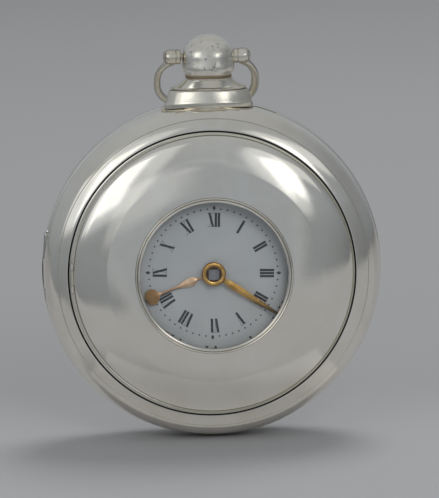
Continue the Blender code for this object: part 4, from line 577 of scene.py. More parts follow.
# Outer hinge, from its lower end to its upper end along y
HINGE_X, HINGE_LOW, HINGE_HIGH = -28.0, -4.6, 7.2
BARREL_R, BARREL_THINNING, BARREL_PLAIN = 0.62, 0.34, 2.8
BARREL_END, BARREL_END_SHARE = 0.7, 0.06
KNUCKLE_HALF, KNUCKLE_GAP = 2.6, 0.06
WEB_F, WEB_OUT, WEB_IN, WEB_INSET = 1.3, 0.1, 0.3, 0.1
BACK_SEAT_LOW, BACK_SEAT_HIGH, BACK_SEAT_R = -6.2, 7.3, 1.06
BEZEL_SEAT_GROW, BEZEL_SEAT_LOW, BEZEL_SEAT_HIGH, BEZEL_SEAT_R = 0.1, -6.0, -4.0, 0.36
PIN_LOW, PIN_HIGH, PIN_R, PIN_END_R, PIN_CHAMFER = -4.0, 6.6, 0.2, 0.17, 0.05
HOLE_LOW, HOLE_HIGH, HOLE_R = -4.1, 6.7, 0.22


def hinge_point(r, a, h):
    return at(HINGE_X + r * cos(a), h, r * sin(a))


def barrel_r(y):
    """Radius of the hinge barrel along its length; it slims and rounds off toward its ends."""
    above = (y - BARREL_PLAIN) / (HINGE_HIGH - BARREL_PLAIN)
    below = (-BARREL_PLAIN - y) / (-BARREL_PLAIN - HINGE_LOW)
    end = max(0.0, (y - HINGE_HIGH) / BARREL_END + 1, (HINGE_LOW - y) / BARREL_END + 1)
    slim = BARREL_R - BARREL_THINNING * max(0.0, above, below)
    return slim * sqrt(max(BARREL_END_SHARE, 1 - end * end))


def hinge_rod(start, end, radius=None, grow=0.0):
    """The barrel between two places along it, or a straight rod of the given radius."""
    n = 1 if radius else 40
    places = [start + (end - start) * i / n for i in range(n + 1)]
    ring = [(0, start)] + [((radius or barrel_r(y)) + grow, y) for y in places] + [(0, end)]
    return turned("hinge_rod", ring, steps=40, frame_of=hinge_point)


def hinge_knuckle(ob, start, end, low, high):
    """A piece of the barrel with a web to the wall that carries it."""
    fuse(ob, block((HINGE_X - WEB_OUT, start + WEB_INSET, low), (HINGE_X + WEB_IN, end - WEB_INSET, high)))
    fuse(ob, hinge_rod(start, end))


def make_hinge_pin():
    ring = [(0, PIN_LOW), (PIN_END_R, PIN_LOW), (PIN_R, PIN_LOW + PIN_CHAMFER)]
    ring += [(PIN_R, PIN_HIGH - PIN_CHAMFER), (PIN_END_R, PIN_HIGH), (0, PIN_HIGH)]
    turned("hinge_pin", ring, silver_worn, "case", steps=32, frame_of=hinge_point,
           replaces=("outer_hinge_pin",), slot="silver_dull")


cut(back, hinge_rod(BACK_SEAT_LOW, BACK_SEAT_HIGH, BACK_SEAT_R))
hinge_knuckle(back, HINGE_LOW, -KNUCKLE_HALF - KNUCKLE_GAP, -WEB_F, 0)
hinge_knuckle(back, KNUCKLE_HALF + KNUCKLE_GAP, HINGE_HIGH, -WEB_F, 0)
cut(back, hinge_rod(HOLE_LOW, HOLE_HIGH, HOLE_R))
make_hinge_pin()

# Outer case bezel
LIP_R, LIP_HIGH = 24.4, 4.5
BEZEL_WALL, BEZEL_LOW, BEZEL_RISE = 0.7, 0.75, 4.42
BEZEL_BENDS = ((24.5, 14.0), (25.1, 20.0), (26.2, 26.0), (27.0, 37.0), (27.7, 53.0), (28.2, 68.0),
               (CASE_R, 83.0))
LINE_R, LINE_HALF, LINE_DEEP = 26.25, 0.07, 0.05
BEZEL_LEAN_R, BEZEL_LEAN_OVER = 26.0, 1.4


def make_bezel():
    shell = scribed(section(BEZEL_BENDS, BEZEL_LOW, BEZEL_RISE, 60), LINE_R, LINE_HALF, LINE_DEEP)
    ring = [(28.4, SEAM), (28.55, 0.1), (28.61, 0.17), (28.62, 0.27), (28.58, 0.36), (28.53, 0.42)] + shell
    ring += [(24.42, 5.18), (24.34, 5.16), (24.31, 5.08)]
    ring += list(reversed(quarter(LIP_R, CASE_R - BEZEL_WALL, SEAM, LIP_HIGH, 30)))
    return turned("case_bezel", ring, silver_ring, "outer_bezel", steps=256,
                  frame_of=leaning(lambda r: (BEZEL_LEAN_R - r) / BEZEL_LEAN_OVER),
                  replaces=("outer_bezel",), slot="silver")


bezel = make_bezel()
cut(bezel, stem_notch())
cut(bezel, hinge_rod(HINGE_LOW, HINGE_HIGH, grow=BEZEL_SEAT_GROW))
cut(bezel, hinge_rod(BEZEL_SEAT_LOW, BEZEL_SEAT_HIGH, BEZEL_SEAT_R))
hinge_knuckle(bezel, -KNUCKLE_HALF, KNUCKLE_HALF, 0, WEB_F)
cut(bezel, hinge_rod(HOLE_LOW, HOLE_HIGH, HOLE_R))

# Inner case, with the hole for the winding square
INNER_R, INNER_DEPTH, INNER_WALL = 26.8, 9.55, 0.6
WINDING_X, WINDING_FROM_AXIS, WINDING_HOLE_R, WINDING_HOLE = 6.9, 9.0, 1.3, (-2.4, -0.6)


def make_inner_case():
    ring = [(0, INNER_WALL - INNER_DEPTH)]
    ring += list(reversed(bowl(INNER_R - INNER_WALL, INNER_DEPTH - INNER_WALL, 36)))
    ring += [(25.0, 2.0), (22.9, 2.6), (22.9, 2.95), (23.7, 2.95), (23.7, 3.7), (23.78, 3.78), (24.8, 3.78)]
    ring += [(24.9, 3.7), (25.9, 3.0), (26.45, 2.1), (26.6, 1.5)]
    ring += bowl(INNER_R, INNER_DEPTH, 36) + [(0, -INNER_DEPTH)]
    return turned("inner_case_shell", ring, silver_inner, "case", replaces=("inner_case",), slot="silver")


inner_case = make_inner_case()
winding_y = sqrt(WINDING_FROM_AXIS ** 2 - WINDING_X ** 2)
cut(inner_case, rod(WINDING_HOLE_R, *WINDING_HOLE, world_mm(WINDING_X, winding_y, -DEPTH), (0, 1, 0), 40))

# Half hunter cover
COVER_F, COVER_RISE, COVER_WALL = 5.3, 2.0, 0.6
CROWN_F = COVER_F + COVER_RISE
COVER_BENDS = ((13.36, 0.6), (14.4, 3.0), (16.8, 5.4), (18.05, 6.4), (18.2, 9.8), (19.6, 12.6),
               (21.0, 16.5), (22.3, 21.0), (23.0, 28.0), (23.46, 44.0))
COVER_HOLE_R, COVER_INSIDE_R, COVER_LOW = 13.3, 23.2, 4.4
COVER_LEAN_R, COVER_LEAN_OVER = 23.64, 0.4


def make_cover():
    outside = section(COVER_BENDS, COVER_F, COVER_RISE, 96)
    inside = section(COVER_BENDS, COVER_F - COVER_WALL, COVER_RISE, 42)
    ring = [(COVER_HOLE_R, 7.27), (13.32, CROWN_F)] + list(reversed(outside))
    ring += [(23.5, 5.2), (23.58, 5.16), (23.65, 5.24), (23.69, 5.26), (24.0, 5.2), (24.08, 5.16)]
    ring += [(24.1, 5.08), (24.1, COVER_LOW), (23.3, COVER_LOW)]
    ring += [(min(r, COVER_INSIDE_R), h) for r, h in inside]
    ring += [(COVER_HOLE_R, CROWN_F - COVER_WALL)]
    return turned("cover_dome", ring, silver_cover, "half_hunter_cover", steps=256,
                  frame_of=leaning(lambda r: (r - COVER_LEAN_R) / COVER_LEAN_OVER),
                  replaces=("half_hunter_cover",), slot="silver")


# Cover hinge
LID_X, LID_F = -23.9, 5.25
LID_R, LID_SEAT_R, LID_HOLE_R = 0.28, 0.31, 0.17
LID_MIDDLE, LID_SIDE, LID_END, LID_CLEAR, LID_HOLE_END = 1.2, 1.3, 2.5, 0.03, 3.1
LEAF_X, LEAF_BELOW, LEAF_UNDER = 0.5, 0.22, 0.05
SHELF_LOW, SHELF_HIGH, SHELF_OUT, LUG_HALF = 4.0, 4.2, 0.7, 0.2


def lid_rod(r, start, end, steps=28):
    return rod(r, start, end, world_mm(LID_X, 0, LID_F), (0, 0, 1), steps)


def lid_hole():
    return lid_rod(LID_HOLE_R, -LID_HOLE_END, LID_HOLE_END, 20)


cover = make_cover()
cut(cover, lid_rod(LID_SEAT_R, -LID_END - LID_CLEAR, LID_END + LID_CLEAR))
leaf_low, leaf_high = LID_F - LEAF_BELOW, COVER_F - LEAF_UNDER
fuse(cover, block((LID_X, -LID_MIDDLE, leaf_low), (LID_X + LEAF_X, LID_MIDDLE, leaf_high)))
fuse(cover, lid_rod(LID_R, -LID_MIDDLE, LID_MIDDLE))
cut(cover, lid_hole())
for start, end in ((-LID_END, -LID_SIDE), (LID_SIDE, LID_END)):
    fuse(inner_case, block((LID_X - SHELF_OUT, start, SHELF_LOW), (LID_X + LUG_HALF, end, SHELF_HIGH)))
    fuse(inner_case, block((LID_X - LUG_HALF, start, SHELF_LOW), (LID_X + LUG_HALF, end, LID_F)))
    fuse(inner_case, lid_rod(LID_R, start, end))
cut(inner_case, lid_hole())

# Aperture rim and glass
TOP = CROWN_F + 0.2
GLASS_SINK, GLASS_THICK, GLASS_RISE, GLASS_STEPS = 0.6, 0.28, 0.1, 12
GLASS_TOP_R, GLASS_LOW_R = 12.62, 12.6
# The rim's two rounds, as radius and drop under the top
RIM_ROUNDS = ((12.42, 0.54), (12.43, 0.3), (12.48, 0.16), (12.56, 0.05), (12.66, 0.01), (12.76, 0.0),
              (12.84, 0.04), (12.89, 0.12), (12.935, 0.18), (12.98, 0.12), (13.04, 0.03), (13.11, 0.0),
              (13.19, 0.04), (13.25, 0.13), (13.28, 0.28), (13.28, 1.1), (12.7, 1.1), (12.7, 0.54))


def glass_side(edge_r, base):
    """One face of the glass from its middle out, slightly domed."""
    shares = [i / GLASS_STEPS for i in range(GLASS_STEPS + 1)]
    return [(edge_r * s, base + GLASS_RISE * (1 - s ** 2)) for s in shares]


def make_glass():
    high = TOP - GLASS_SINK
    ring = glass_side(GLASS_TOP_R, high) + list(reversed(glass_side(GLASS_LOW_R, high - GLASS_THICK)))
    turned("aperture_crystal", ring, glass, "half_hunter_cover", steps=160,
           replaces=("aperture_glass",), slot="crystal")


turned("aperture_rim_ring", [(r, TOP - drop) for r, drop in RIM_ROUNDS], silver_rim, "half_hunter_cover",
       steps=224, replaces=("aperture_rim",), slot="silver")
make_glass()

# Pendant collar
BORE_R, ROUND_INSIDE = 2.7, 3.0
FLAT_SHARE, ROUNDER_SHARE, ROUNDER_FROM, ROUNDER_OVER = 0.44, 0.4, 31.1, 1.4
FOOT_ARCH, FOOT_HIGH = 0.5, 28.3
SKIRT_R, SKIRT_LOW, SKIRT_HIGH, SKIRT_FRONT_F, OVERRUN = 7.4, 27.0, 28.2, -0.1, 9.0
FOOT_SEAT_R, FOOT_SEAT_SHARE, FOOT_SEAT_LOW, FOOT_SEAT_HIGH = 7.5, 0.446, 27.54, 30.0
CASE_CLEAR, CASE_CLEAR_DEPTH = 0.05, 0.1


def arch(a):
    """How far the foot's bottom lifts toward the front."""
    return FOOT_ARCH * max(0.0, sin(a)) ** 2


def oval(r, a, h):
    """A point of the collar, nearly round at the neck and flattened toward the case."""
    if r <= ROUND_INSIDE:
        return at(r * cos(a), h, r * sin(a))
    share = FLAT_SHARE
    if h > ROUNDER_FROM:
        share += ROUNDER_SHARE * min(1.0, (h - ROUNDER_FROM) / ROUNDER_OVER)
    if h < FOOT_HIGH:
        h += arch(a)
    return at(r * cos(a), h, r * share * sin(a))


def make_collar():
    ring = [(BORE_R, 32.74), (3.9, 32.74), (3.99, 32.68), (4.06, 32.54), (4.3, 32.26), (4.66, 31.98)]
    ring += [(5.1, 31.72), (5.55, 31.5), (5.95, 31.34), (6.2, 31.26), (6.32, 31.18), (6.36, 31.07)]
    ring += [(6.32, 30.97), (6.22, 30.92), (6.2, 30.85), (6.26, 30.79), (6.42, 30.76), (6.54, 30.68)]
    ring += [(6.68, 30.42), (6.86, 30.02), (7.04, 29.5), (7.17, 29.0), (7.27, 28.6), (7.38, 28.42)]
    ring += [(7.45, 28.28), (7.45, 27.66), (7.4, 27.6), (BORE_R, 27.6)]
    return turned("collar", ring, silver_neck, "case", steps=160, frame_of=oval, replaces=("pendant_collar",),
                  slot="silver")


def foot_prism(r, share, low, high):
    """An oval block about the pendant's axis, whose bottom follows the foot's arch."""
    def place(q, a, h):
        return at(q * cos(a), h + (arch(a) if q and h == low else 0.0), q * share * sin(a))

    return turned("foot_prism", [(0, high), (r, high), (r, low), (0, low)], steps=160, frame_of=place)


def make_skirt():
    """The foot behind the seam, which the case's back then shapes."""
    skirt = foot_prism(SKIRT_R, FLAT_SHARE, SKIRT_LOW, SKIRT_HIGH)
    cut(skirt, block((-OVERRUN, NOTCH_LOW, SKIRT_FRONT_F), (OVERRUN, FOOT_SEAT_HIGH, OVERRUN)))
    cut(skirt, rod(BORE_R, NOTCH_LOW, FOOT_SEAT_HIGH, world_mm(0, 0, 0), (0, 0, 1), 64))
    return skirt


def case_body():
    """The space that the case's back fills, a little enlarged."""
    rim_r, depth = RIM_R + CASE_CLEAR, DEPTH + CASE_CLEAR_DEPTH
    ring = [(0, 0.0), (rim_r, 0.0)] + bowl(rim_r, depth, 30) + [(0, -depth)]
    return turned("case_body", ring, steps=256)


collar = make_collar()
fuse(collar, make_skirt())
cut(collar, case_body())
cut(bezel, foot_prism(FOOT_SEAT_R, FOOT_SEAT_SHARE, FOOT_SEAT_LOW, FOOT_SEAT_HIGH))

# Pendant ball
BALL_TOP, BALL_SHOULDER, BALL_R, BALL_STEPS = 40.05, 36.2, 4.32, 32
SQUARE_FROM, SQUARE_OVER, SQUARE_POWER = 3.0, 0.8, 2.7
STEM_R, STEM_LOW = 2.6, 26.95
PIVOT_Y, SCREW_HOLE_R, SCREW_HOLE_END = 36.3, 0.65, 5.0


def knob(r, a, h):
    """A point of the pendant ball, a little squarer than round in plan."""
    square = min(1.0, max(0.0, (r - SQUARE_FROM) / SQUARE_OVER))
    k = (abs(cos(a)) ** SQUARE_POWER + abs(sin(a)) ** SQUARE_POWER) ** (-1 / SQUARE_POWER)
    k = 1 + (k - 1) * square
    return at(r * k * cos(a), h, r * k * sin(a))


def make_ball():
    ring = [(0, BALL_TOP)]
    for i in range(1, BALL_STEPS + 1):
        a = pi / 2 - pi / 2 * i / BALL_STEPS
        ring.append((BALL_R * cos(a), BALL_SHOULDER + (BALL_TOP - BALL_SHOULDER) * sin(a)))
    ring += [(4.34, 35.8), (4.38, 35.4), (4.43, 34.9), (4.45, 34.55), (4.42, 34.3), (4.33, 34.06)]
    ring += [(4.2, 33.84), (4.08, 33.68), (4.01, 33.58), (3.99, 33.5), (3.9, 33.42), (3.87, 33.32)]
    ring += [(3.92, 33.24), (3.92, 33.14), (3.85, 33.06), (3.85, 32.98), (3.93, 32.9), (3.93, 32.78)]
    ring += [(STEM_R, 32.78), (STEM_R, STEM_LOW), (0, STEM_LOW)]
    return turned("pendant_ball", ring, silver_ball, "case", steps=128, frame_of=knob, replaces=("pendant",),
                  slot="silver")


cut(make_ball(), rod(SCREW_HOLE_R, -SCREW_HOLE_END, SCREW_HOLE_END, world_mm(0, PIVOT_Y, 0), (1, 0, 0), 32))

# Bow and its screws
BOW_POWER, BOW_WIDTH, BOW_LENGTH, BOW_X, BOW_STEPS = 2.5, 8.3, 11.5, -0.2, 96
BOW_REST, BOW_SAG = radians(38), 0.45
BOW_R, BOW_SWELL, BOW_LOPSIDED, BOW_FLARE, BOW_FLARE_OVER = 0.42, 0.24, 0.26, 0.38, 0.09
KNUCKLE_MIDDLE, KNUCKLE_SINK = 5.7, 0.84
SLOT_LOW, SLOT_HIGH, SLOT_LONG, SLOT_HALF = 7.22, 7.8, 1.4, 0.15


def power(value, share):
    """A signed power."""
    return copysign(abs(value) ** share, value)


def make_bow():
    """A squarish loop behind the collar, thickest beside its middle and flared at its knuckles."""
    share = 2 / BOW_POWER
    start_sin = (KNUCKLE_MIDDLE / BOW_WIDTH) ** (1 / share)
    start_cos = sqrt(1 - start_sin ** 2)
    rise = (BOW_LENGTH - KNUCKLE_SINK) / (1 + start_cos ** share)
    middle = BOW_LENGTH - rise
    start_angle = asin(start_sin)
    path, radii = [], []
    for i in range(BOW_STEPS + 1):
        t = i / BOW_STEPS
        a = start_angle + (tau - 2 * start_angle) * t
        drop = middle - rise * power(cos(a), share)
        drop += BOW_SAG * sin(pi * (t if t < 0.5 else 1 - t) / 0.5)
        path.append(at(BOW_X - BOW_WIDTH * power(sin(a), share), PIVOT_Y - drop * cos(BOW_REST),
                       -drop * sin(BOW_REST)))
        r = BOW_R + BOW_SWELL * sin(pi * t) ** 0.7 + BOW_LOPSIDED * max(0.0, (t - 0.5) * 2) * sin(pi * t)
        r += BOW_FLARE * max(0.0, 1 - min(t, 1 - t) / BOW_FLARE_OVER) ** 1.5
        radii.append(r * MM)
    return tube("bow_ring", path, radii, silver_bow, "bow", 32, replaces=("bow",), slot="silver")


def pivot_point(side):
    """Turning about the bow's pivots, with heights that run out to one side."""
    return lambda r, a, h: at(BOW_X + side * h, PIVOT_Y + r * cos(a), r * sin(a))


def bow_knuckle(side):
    ring = [(0.6, 4.4), (1.0, 4.4), (1.16, 4.46), (1.26, 4.6), (1.26, 5.1), (1.16, 5.17), (1.16, 5.25)]
    ring += [(1.26, 5.32), (1.3, 5.9), (1.28, 6.4), (1.22, 6.7), (1.1, 6.88), (0.95, 6.98), (0.85, 7.0)]
    ring += [(0.6, 7.0)]
    return turned("bow_knuckle", ring, steps=48, frame_of=pivot_point(side))


def bow_screw(side, name):
    """A slotted screw, whose shank runs in to the ball."""
    ring = [(0, 7.34), (0.4, 7.33), (0.68, 7.27), (0.84, 7.17), (0.9, 7.08), (0.88, 7.03), (0.5, 7.03)]
    ring += [(0.5, 1.2), (0, 1.2)]
    screw = turned("bow_screw_head_" + name, ring, silver_worn, "case", steps=40, frame_of=pivot_point(side),
                   replaces=("bow_screw_" + name,), slot="silver_dull")
    low, high = sorted((BOW_X + side * SLOT_LOW, BOW_X + side * SLOT_HIGH))
    cut(screw, block((low, PIVOT_Y - SLOT_LONG, -SLOT_HALF), (high, PIVOT_Y + SLOT_LONG, SLOT_HALF)))


bow = make_bow()
for side, name in ((-1, "left"), (1, "right")):
    fuse(bow, bow_knuckle(side))
    bow_screw(side, name)

# Dial
DIAL_R, DIAL_F, DIAL_DROP, DIAL_BACK = 21.5, 4.1, 0.4, 3.1
DIAL_HOLE_R, DIAL_INNER_R, DIAL_OUTER_R, DIAL_STEPS = 1.25, 1.4, 21.3, 26
PAINT_LIFT, PAINT_ROOT, STROKE_LIFT, SERIF_LIFT = 0.022, 0.03, 0.0006, 0.004
LETTER_WIDTHS = {"I": 0.52, "V": 0.98, "X": 1.06}


def face(r):
    """How far forward the dial's surface lies at a radius."""
    return DIAL_F - DIAL_DROP * (r / DIAL_R) ** 2


def make_dial():
    ring = [(DIAL_HOLE_R, DIAL_BACK), (DIAL_HOLE_R, face(DIAL_INNER_R) - 0.06), (1.33, face(DIAL_INNER_R))]
    for i in range(1, DIAL_STEPS + 1):
        r = DIAL_INNER_R + (DIAL_OUTER_R - DIAL_INNER_R) * i / DIAL_STEPS
        ring.append((r, face(r)))
    ring += [(21.42, face(21.4) - 0.05), (DIAL_R, face(DIAL_R) - 0.16), (DIAL_R, DIAL_BACK)]
    turned("dial_plate", ring, enamel, "case", steps=160, replaces=("dial",), slot="enamel")


make_dial()
ink = bmesh.new()


def clock_point(angle, across, out):
    """A point so far out along a clock angle, and so far across it."""
    return (out * sin(angle) + across * cos(angle), out * cos(angle) - across * sin(angle))


def slab(points, lift=PAINT_LIFT):
    """A patch of raised paint with the outline given in dial millimetres."""
    top = [ink.verts.new(at(x, y, face(hypot(x, y)) + lift)) for x, y in points]
    low = [ink.verts.new(at(x, y, face(hypot(x, y)) - PAINT_ROOT)) for x, y in points]
    ink.faces.new(top)
    ink.faces.new(list(reversed(low)))
    skin(ink, (top, low))


def numeral(text, angle, foot, height, stroke, thin, scale):
    """A Roman numeral that stands on a circle with its head outward."""
    x = -sum(LETTER_WIDTHS[c] * scale for c in text) / 2
    lift = PAINT_LIFT

    def patch(corners, height_now):
        slab([clock_point(angle, px, foot + py) for px, py in corners], height_now)

    def bar(x0, y0, x1, y1, wide):
        nonlocal lift
        h = wide / 2
        patch(((x0 - h, y0), (x0 + h, y0), (x1 + h, y1), (x1 - h, y1)), lift)
        lift += STROKE_LIFT

    def serif(cx, end, reach):
        low, high = (height - thin, height) if end else (0, thin)
        x0, x1 = cx - reach, cx + reach
        patch(((x0, low), (x1, low), (x1, high), (x0, high)), lift + SERIF_LIFT)

    for c in text:
        wide = LETTER_WIDTHS[c] * scale
        mid = x + wide / 2
        half = (wide - stroke) / 2
        if c == "I":
            bar(mid, 0, mid, height, stroke)
            for end in (0, 1):
                serif(mid, end, wide * 0.47)
        elif c == "V":
            bar(mid - half + 0.02, height, mid + stroke * 0.1, 0, stroke)
            bar(mid + half, height, mid + stroke * 0.25, 0, thin)
            serif(mid - half + 0.02, 1, stroke * 0.85)
            serif(mid + half, 1, stroke * 0.55)
        else:
            bar(mid - half, height, mid + half, 0, stroke)
            bar(mid + half, height, mid - half, 0, thin)
            for s in (-1, 1):
                serif(mid + s * half, 0, stroke * 0.8)
                serif(mid + s * half, 1, stroke * 0.8)
        x += wide


def dot(r, a, size, sides=10):
    cx, cy = r * sin(a), r * cos(a)
    slab([(cx + size * cos(tau * k / sides), cy + size * sin(tau * k / sides)) for k in range(sides)])


def diamond(r, a, long, wide, sides=16):
    points = []
    for k in range(sides):
        t = tau * k / sides
        q = 1 / (abs(cos(t)) ** 0.9 + abs(sin(t)) ** 0.9)
        points.append(clock_point(a, wide * cos(t) * q, r + long * sin(t) * q))
    slab(points)


NUMERALS = ("XII", "I", "II", "III", "IIII", "V", "VI", "VII", "VIII", "IX", "X", "XI")
# The dial sits slightly turned in its case, and four of its numerals lean, in degrees
TILT = radians(1.7)
LEAN = {0: 0.3, 6: -2.2, 3: 0.2, 9: 0.2}
for i, text in enumerate(NUMERALS):
    a = tau * i / 12 + TILT
    numeral(text, a + radians(LEAN.get(i, 0.0)), foot=7.85, height=2.4, stroke=0.41, thin=0.05, scale=1.0)
    numeral(text, a, foot=12.55, height=4.7, stroke=0.36, thin=0.06, scale=2.0)
# Marks: minutes between diamonds, a diamond's radius, length and width, and a dot's radius and size
MARKS = ((15, (11.05, 0.46, 0.3), (10.9, 0.145)), (5, (18.75, 0.5, 0.32), (18.7, 0.14)))
for minute in range(60):
    a = tau * minute / 60 + TILT
    for every, (diamond_r, long, wide), (dot_r, size) in MARKS:
        if minute % every == 0:
            diamond(diamond_r, a, long, wide)
        else:
            dot(dot_r, a, size)
finish_mesh("dial_numerals", ink, black, "case", INK_SHARP, slot="enamel")

# Hands
HOUR_ANGLE, HOUR_F, HOUR_RIDGE = radians(250), 4.4, 0.05
MINUTE_ANGLE, MINUTE_F, MINUTE_RIDGE = radians(123.7), 5.1, 0.16
HAND_THICK, EDGE_SHARE, RIDGE_SHARE, RIDGE_FULL = 0.26, 0.55, 0.08, 0.3
BOSS_STEP, BOSS_STEPS, BOSS_POWER = 0.24, 9, 0.8
HOUR_LEAF = [(1.2, 0.2), (2.2, 0.19), (2.9, 0.22), (3.15, 0.34), (3.4, 0.56), (3.7, 0.7), (4.0, 0.745)]
HOUR_LEAF += [(4.35, 0.72), (4.8, 0.62), (5.3, 0.5), (5.8, 0.38), (6.4, 0.28), (7.0, 0.22), (7.6, 0.2)]
HOUR_DISC = [(8.6, 0.2), (9.3, 0.22), (9.75, 0.3), (10.0, 0.62), (10.25, 0.96), (10.55, 1.2)]
HOUR_DISC += [(10.9, 1.34), (11.2, 1.38), (11.5, 1.32), (11.8, 1.14), (12.05, 0.84), (12.2, 0.52)]
HOUR_DISC += [(12.3, 0.2), (12.34, 0.05)]
MINUTE_BLADE = [(1.6, 0.36), (2.0, 0.42), (2.6, 0.5), (3.4, 0.57), (4.2, 0.6), (5.0, 0.6), (6.0, 0.57)]
MINUTE_BLADE += [(7.5, 0.5), (9.0, 0.43), (10.5, 0.36), (12.0, 0.28), (13.5, 0.19), (14.6, 0.12)]
MINUTE_BLADE += [(15.0, 0.06)]


def hand_blade(name, outline, angle, low, ridge, look, body, **kw):
    """A flat hand whose top rises to a ridge along its middle; outline holds (reach, half width)."""
    bm = bmesh.new()
    edge = low + HAND_THICK * EDGE_SHARE
    rows = []
    for reach, half in outline:
        top = low + HAND_THICK + ridge * min(1.0, half / RIDGE_FULL)
        near = half * RIDGE_SHARE
        places = ((-half, low), (-half, edge), (-near, top), (near, top), (half, edge), (half, low))
        rows.append([bm.verts.new(at(*clock_point(angle, across, reach), f)) for across, f in places])
    skin(bm, rows)
    bm.faces.new(rows[0])
    bm.faces.new(rows[-1])
    return finish_mesh(name, bm, look, body, HAND_SHARP, **kw)


def plain_hub(low, high, hub_r, bore_r):
    return [(bore_r, low), (hub_r - 0.06, low), (hub_r, low + 0.06), (hub_r, high - 0.08),
            (hub_r - 0.1, high), (bore_r, high)]


def domed_boss(low, high, boss_r, bore_r, recess_r):
    """A rounded ring about a sunk middle."""
    shoulder = low + BOSS_STEP
    ring = [(bore_r, low), (boss_r - 0.25, low), (boss_r - 0.04, low + 0.1), (boss_r, shoulder)]
    for k in range(1, BOSS_STEPS):
        a = pi * k / BOSS_STEPS
        r = (boss_r + recess_r) / 2 + (boss_r - recess_r) / 2 * cos(a)
        ring.append((r, shoulder + (high - shoulder) * sin(a) ** BOSS_POWER))
    return ring + [(recess_r, low + 0.26), (bore_r, low + 0.22)]


def add_hub(hand, ring):
    fuse(hand, turned("hub", ring, steps=72))
    smooth(hand, HAND_SHARP)


hour_hand = hand_blade("hour_hand_leaf", HOUR_LEAF + HOUR_DISC, HOUR_ANGLE, HOUR_F, HOUR_RIDGE, copper_gold,
                       "hour", replaces=("hour_hand",), slot="copper_gold")
add_hub(hour_hand, plain_hub(HOUR_F, high=4.72, hub_r=1.6, bore_r=1.1))
minute_hand = hand_blade("minute_hand_blade", MINUTE_BLADE, MINUTE_ANGLE, MINUTE_F, MINUTE_RIDGE, gold,
                         "minute", replaces=("minute_hand",), slot="gold")
add_hub(minute_hand, domed_boss(MINUTE_F, high=5.66, boss_r=2.05, bore_r=0.8, recess_r=1.22))

# Floor, in metres; its front edge sets what the lower half of the case reflects
FLOOR_Z = -28.84 * MM
FAR, LEFT_Y, RIGHT_Y = 1.6, 0.2, -0.15
FLOOR_EDGE = ((-FAR, LEFT_Y), (-0.6, LEFT_Y), (-0.094, -0.057), (0.035, -0.163), (0.5, RIGHT_Y),
              (FAR, RIGHT_Y), (FAR, FAR), (-FAR, FAR))
# PAPER_FAR_SHARE is how much of the paper's colour the painted shade behind the watch leaves
PAPER, PAPER_VARIES, PAPER_FAR_SHARE = (0.35, 0.355, 0.366), 0.025, 0.87
PAPER_NEAR_Y, PAPER_FAR_Y = -0.015, 0.03


def paper_material():
    """Plain matt paper, with painted shade that makes it a little darker behind the watch."""
    mat, nt, shader, _ = new_material("paper")
    v = coords(nt)
    cloud = noise(nt, v, 7.0, detail=3.0, rough=0.5)
    nap = noise(nt, v, 900.0, detail=3.0, rough=0.6)
    darker, paler = scaled(PAPER, 1 - PAPER_VARIES), scaled(PAPER, 1 + PAPER_VARIES)
    tone = ramp(nt, cloud, ((0.35, darker), (0.65, paler)))
    painted_far_shade = spread(nt, along(nt, 1), PAPER_NEAR_Y, PAPER_FAR_Y)
    feed(nt, shader, {"Base Color": mix(nt, painted_far_shade, tone, scaled(PAPER, PAPER_FAR_SHARE)), "Roughness": 0.75,
                      "Specular IOR Level": 0.15, "Normal": bump(nt, nap, strength=0.08, distance=0.0004)})
    return mat


def make_floor():
    bm = bmesh.new()
    bm.faces.new([bm.verts.new((x, y, FLOOR_Z)) for x, y in FLOOR_EDGE])
    me = bpy.data.meshes.new("floor")
    bm.to_mesh(me)
    bm.free()
    me.materials.append(paper_material())
    floor = new_object("floor", me)


make_floor()

# Room: what the metal mirrors, from low to high, with a disc ahead that has a paler edge
ROOM_STOPS = ((0.0, (0.16, 0.165, 0.17)), (0.38, (0.22, 0.235, 0.25)), (0.49, (0.26, 0.28, 0.3)),
              (0.58, (0.34, 0.365, 0.395)), (0.75, (0.37, 0.39, 0.41)), (1.0, (0.4, 0.41, 0.42)))
AHEAD = (0.0, -0.9998, 0.02)
DISC, DISC_EDGE, ROOM_LIGHT = (0.325, 0.35, 0.38), (0.46, 0.48, 0.5), 0.52


def make_room():
    world = bpy.data.worlds.new("room")
    bpy.context.scene.world = world
    world.use_nodes = True
    nt = world.node_tree
    nt.nodes.clear()
    toward = add_node(nt, "TexCoord", {}).outputs["Generated"]
    x, _, z = add_node(nt, "SeparateXYZ", {0: toward}).outputs
    facing = add_node(nt, "VectorMath", {0: toward, 1: AHEAD}, operation="DOT_PRODUCT").outputs["Value"]

    def within(outer, inner, to_outer=0.0, to_inner=1.0):
        """A change between two angles from straight ahead, in degrees."""
        return spread(nt, facing, cos(radians(outer)), cos(radians(inner)), to_outer, to_inner)

    room = ramp(nt, spread(nt, z, -1.0, 1.0), ROOM_STOPS)
    right, left = spread(nt, x, 0.4, 0.85, 1.0, 0.66), spread(nt, x, -0.95, -0.5, 0.94, 1.0)
    room = mix(nt, calc(nt, "MULTIPLY", right, left), (0.0, 0.0, 0.0), room)
    room = mix(nt, within(14.2, 13.2), room, DISC)
    rim = calc(nt, "MULTIPLY", within(15.2, 14.3), within(14.1, 13.4, 1.0, 0.0))
    room = mix(nt, rim, room, DISC_EDGE)
    seen = add_node(nt, "Background", {0: room}).outputs[0]
    lit = add_node(nt, "Background", {0: (1.0, 1.0, 1.0), 1: ROOM_LIGHT}).outputs[0]
    path = add_node(nt, "LightPath", {}).outputs
    mirrored = calc(nt, "MAXIMUM", path["Is Glossy Ray"], path["Is Transmission Ray"])
    direct = calc(nt, "MAXIMUM", path["Is Camera Ray"], mirrored)
    mixer = add_node(nt, "MixShader", {0: direct, 1: lit, 2: seen})
    add_node(nt, "OutputWorld", {0: mixer.outputs[0]})


make_room()

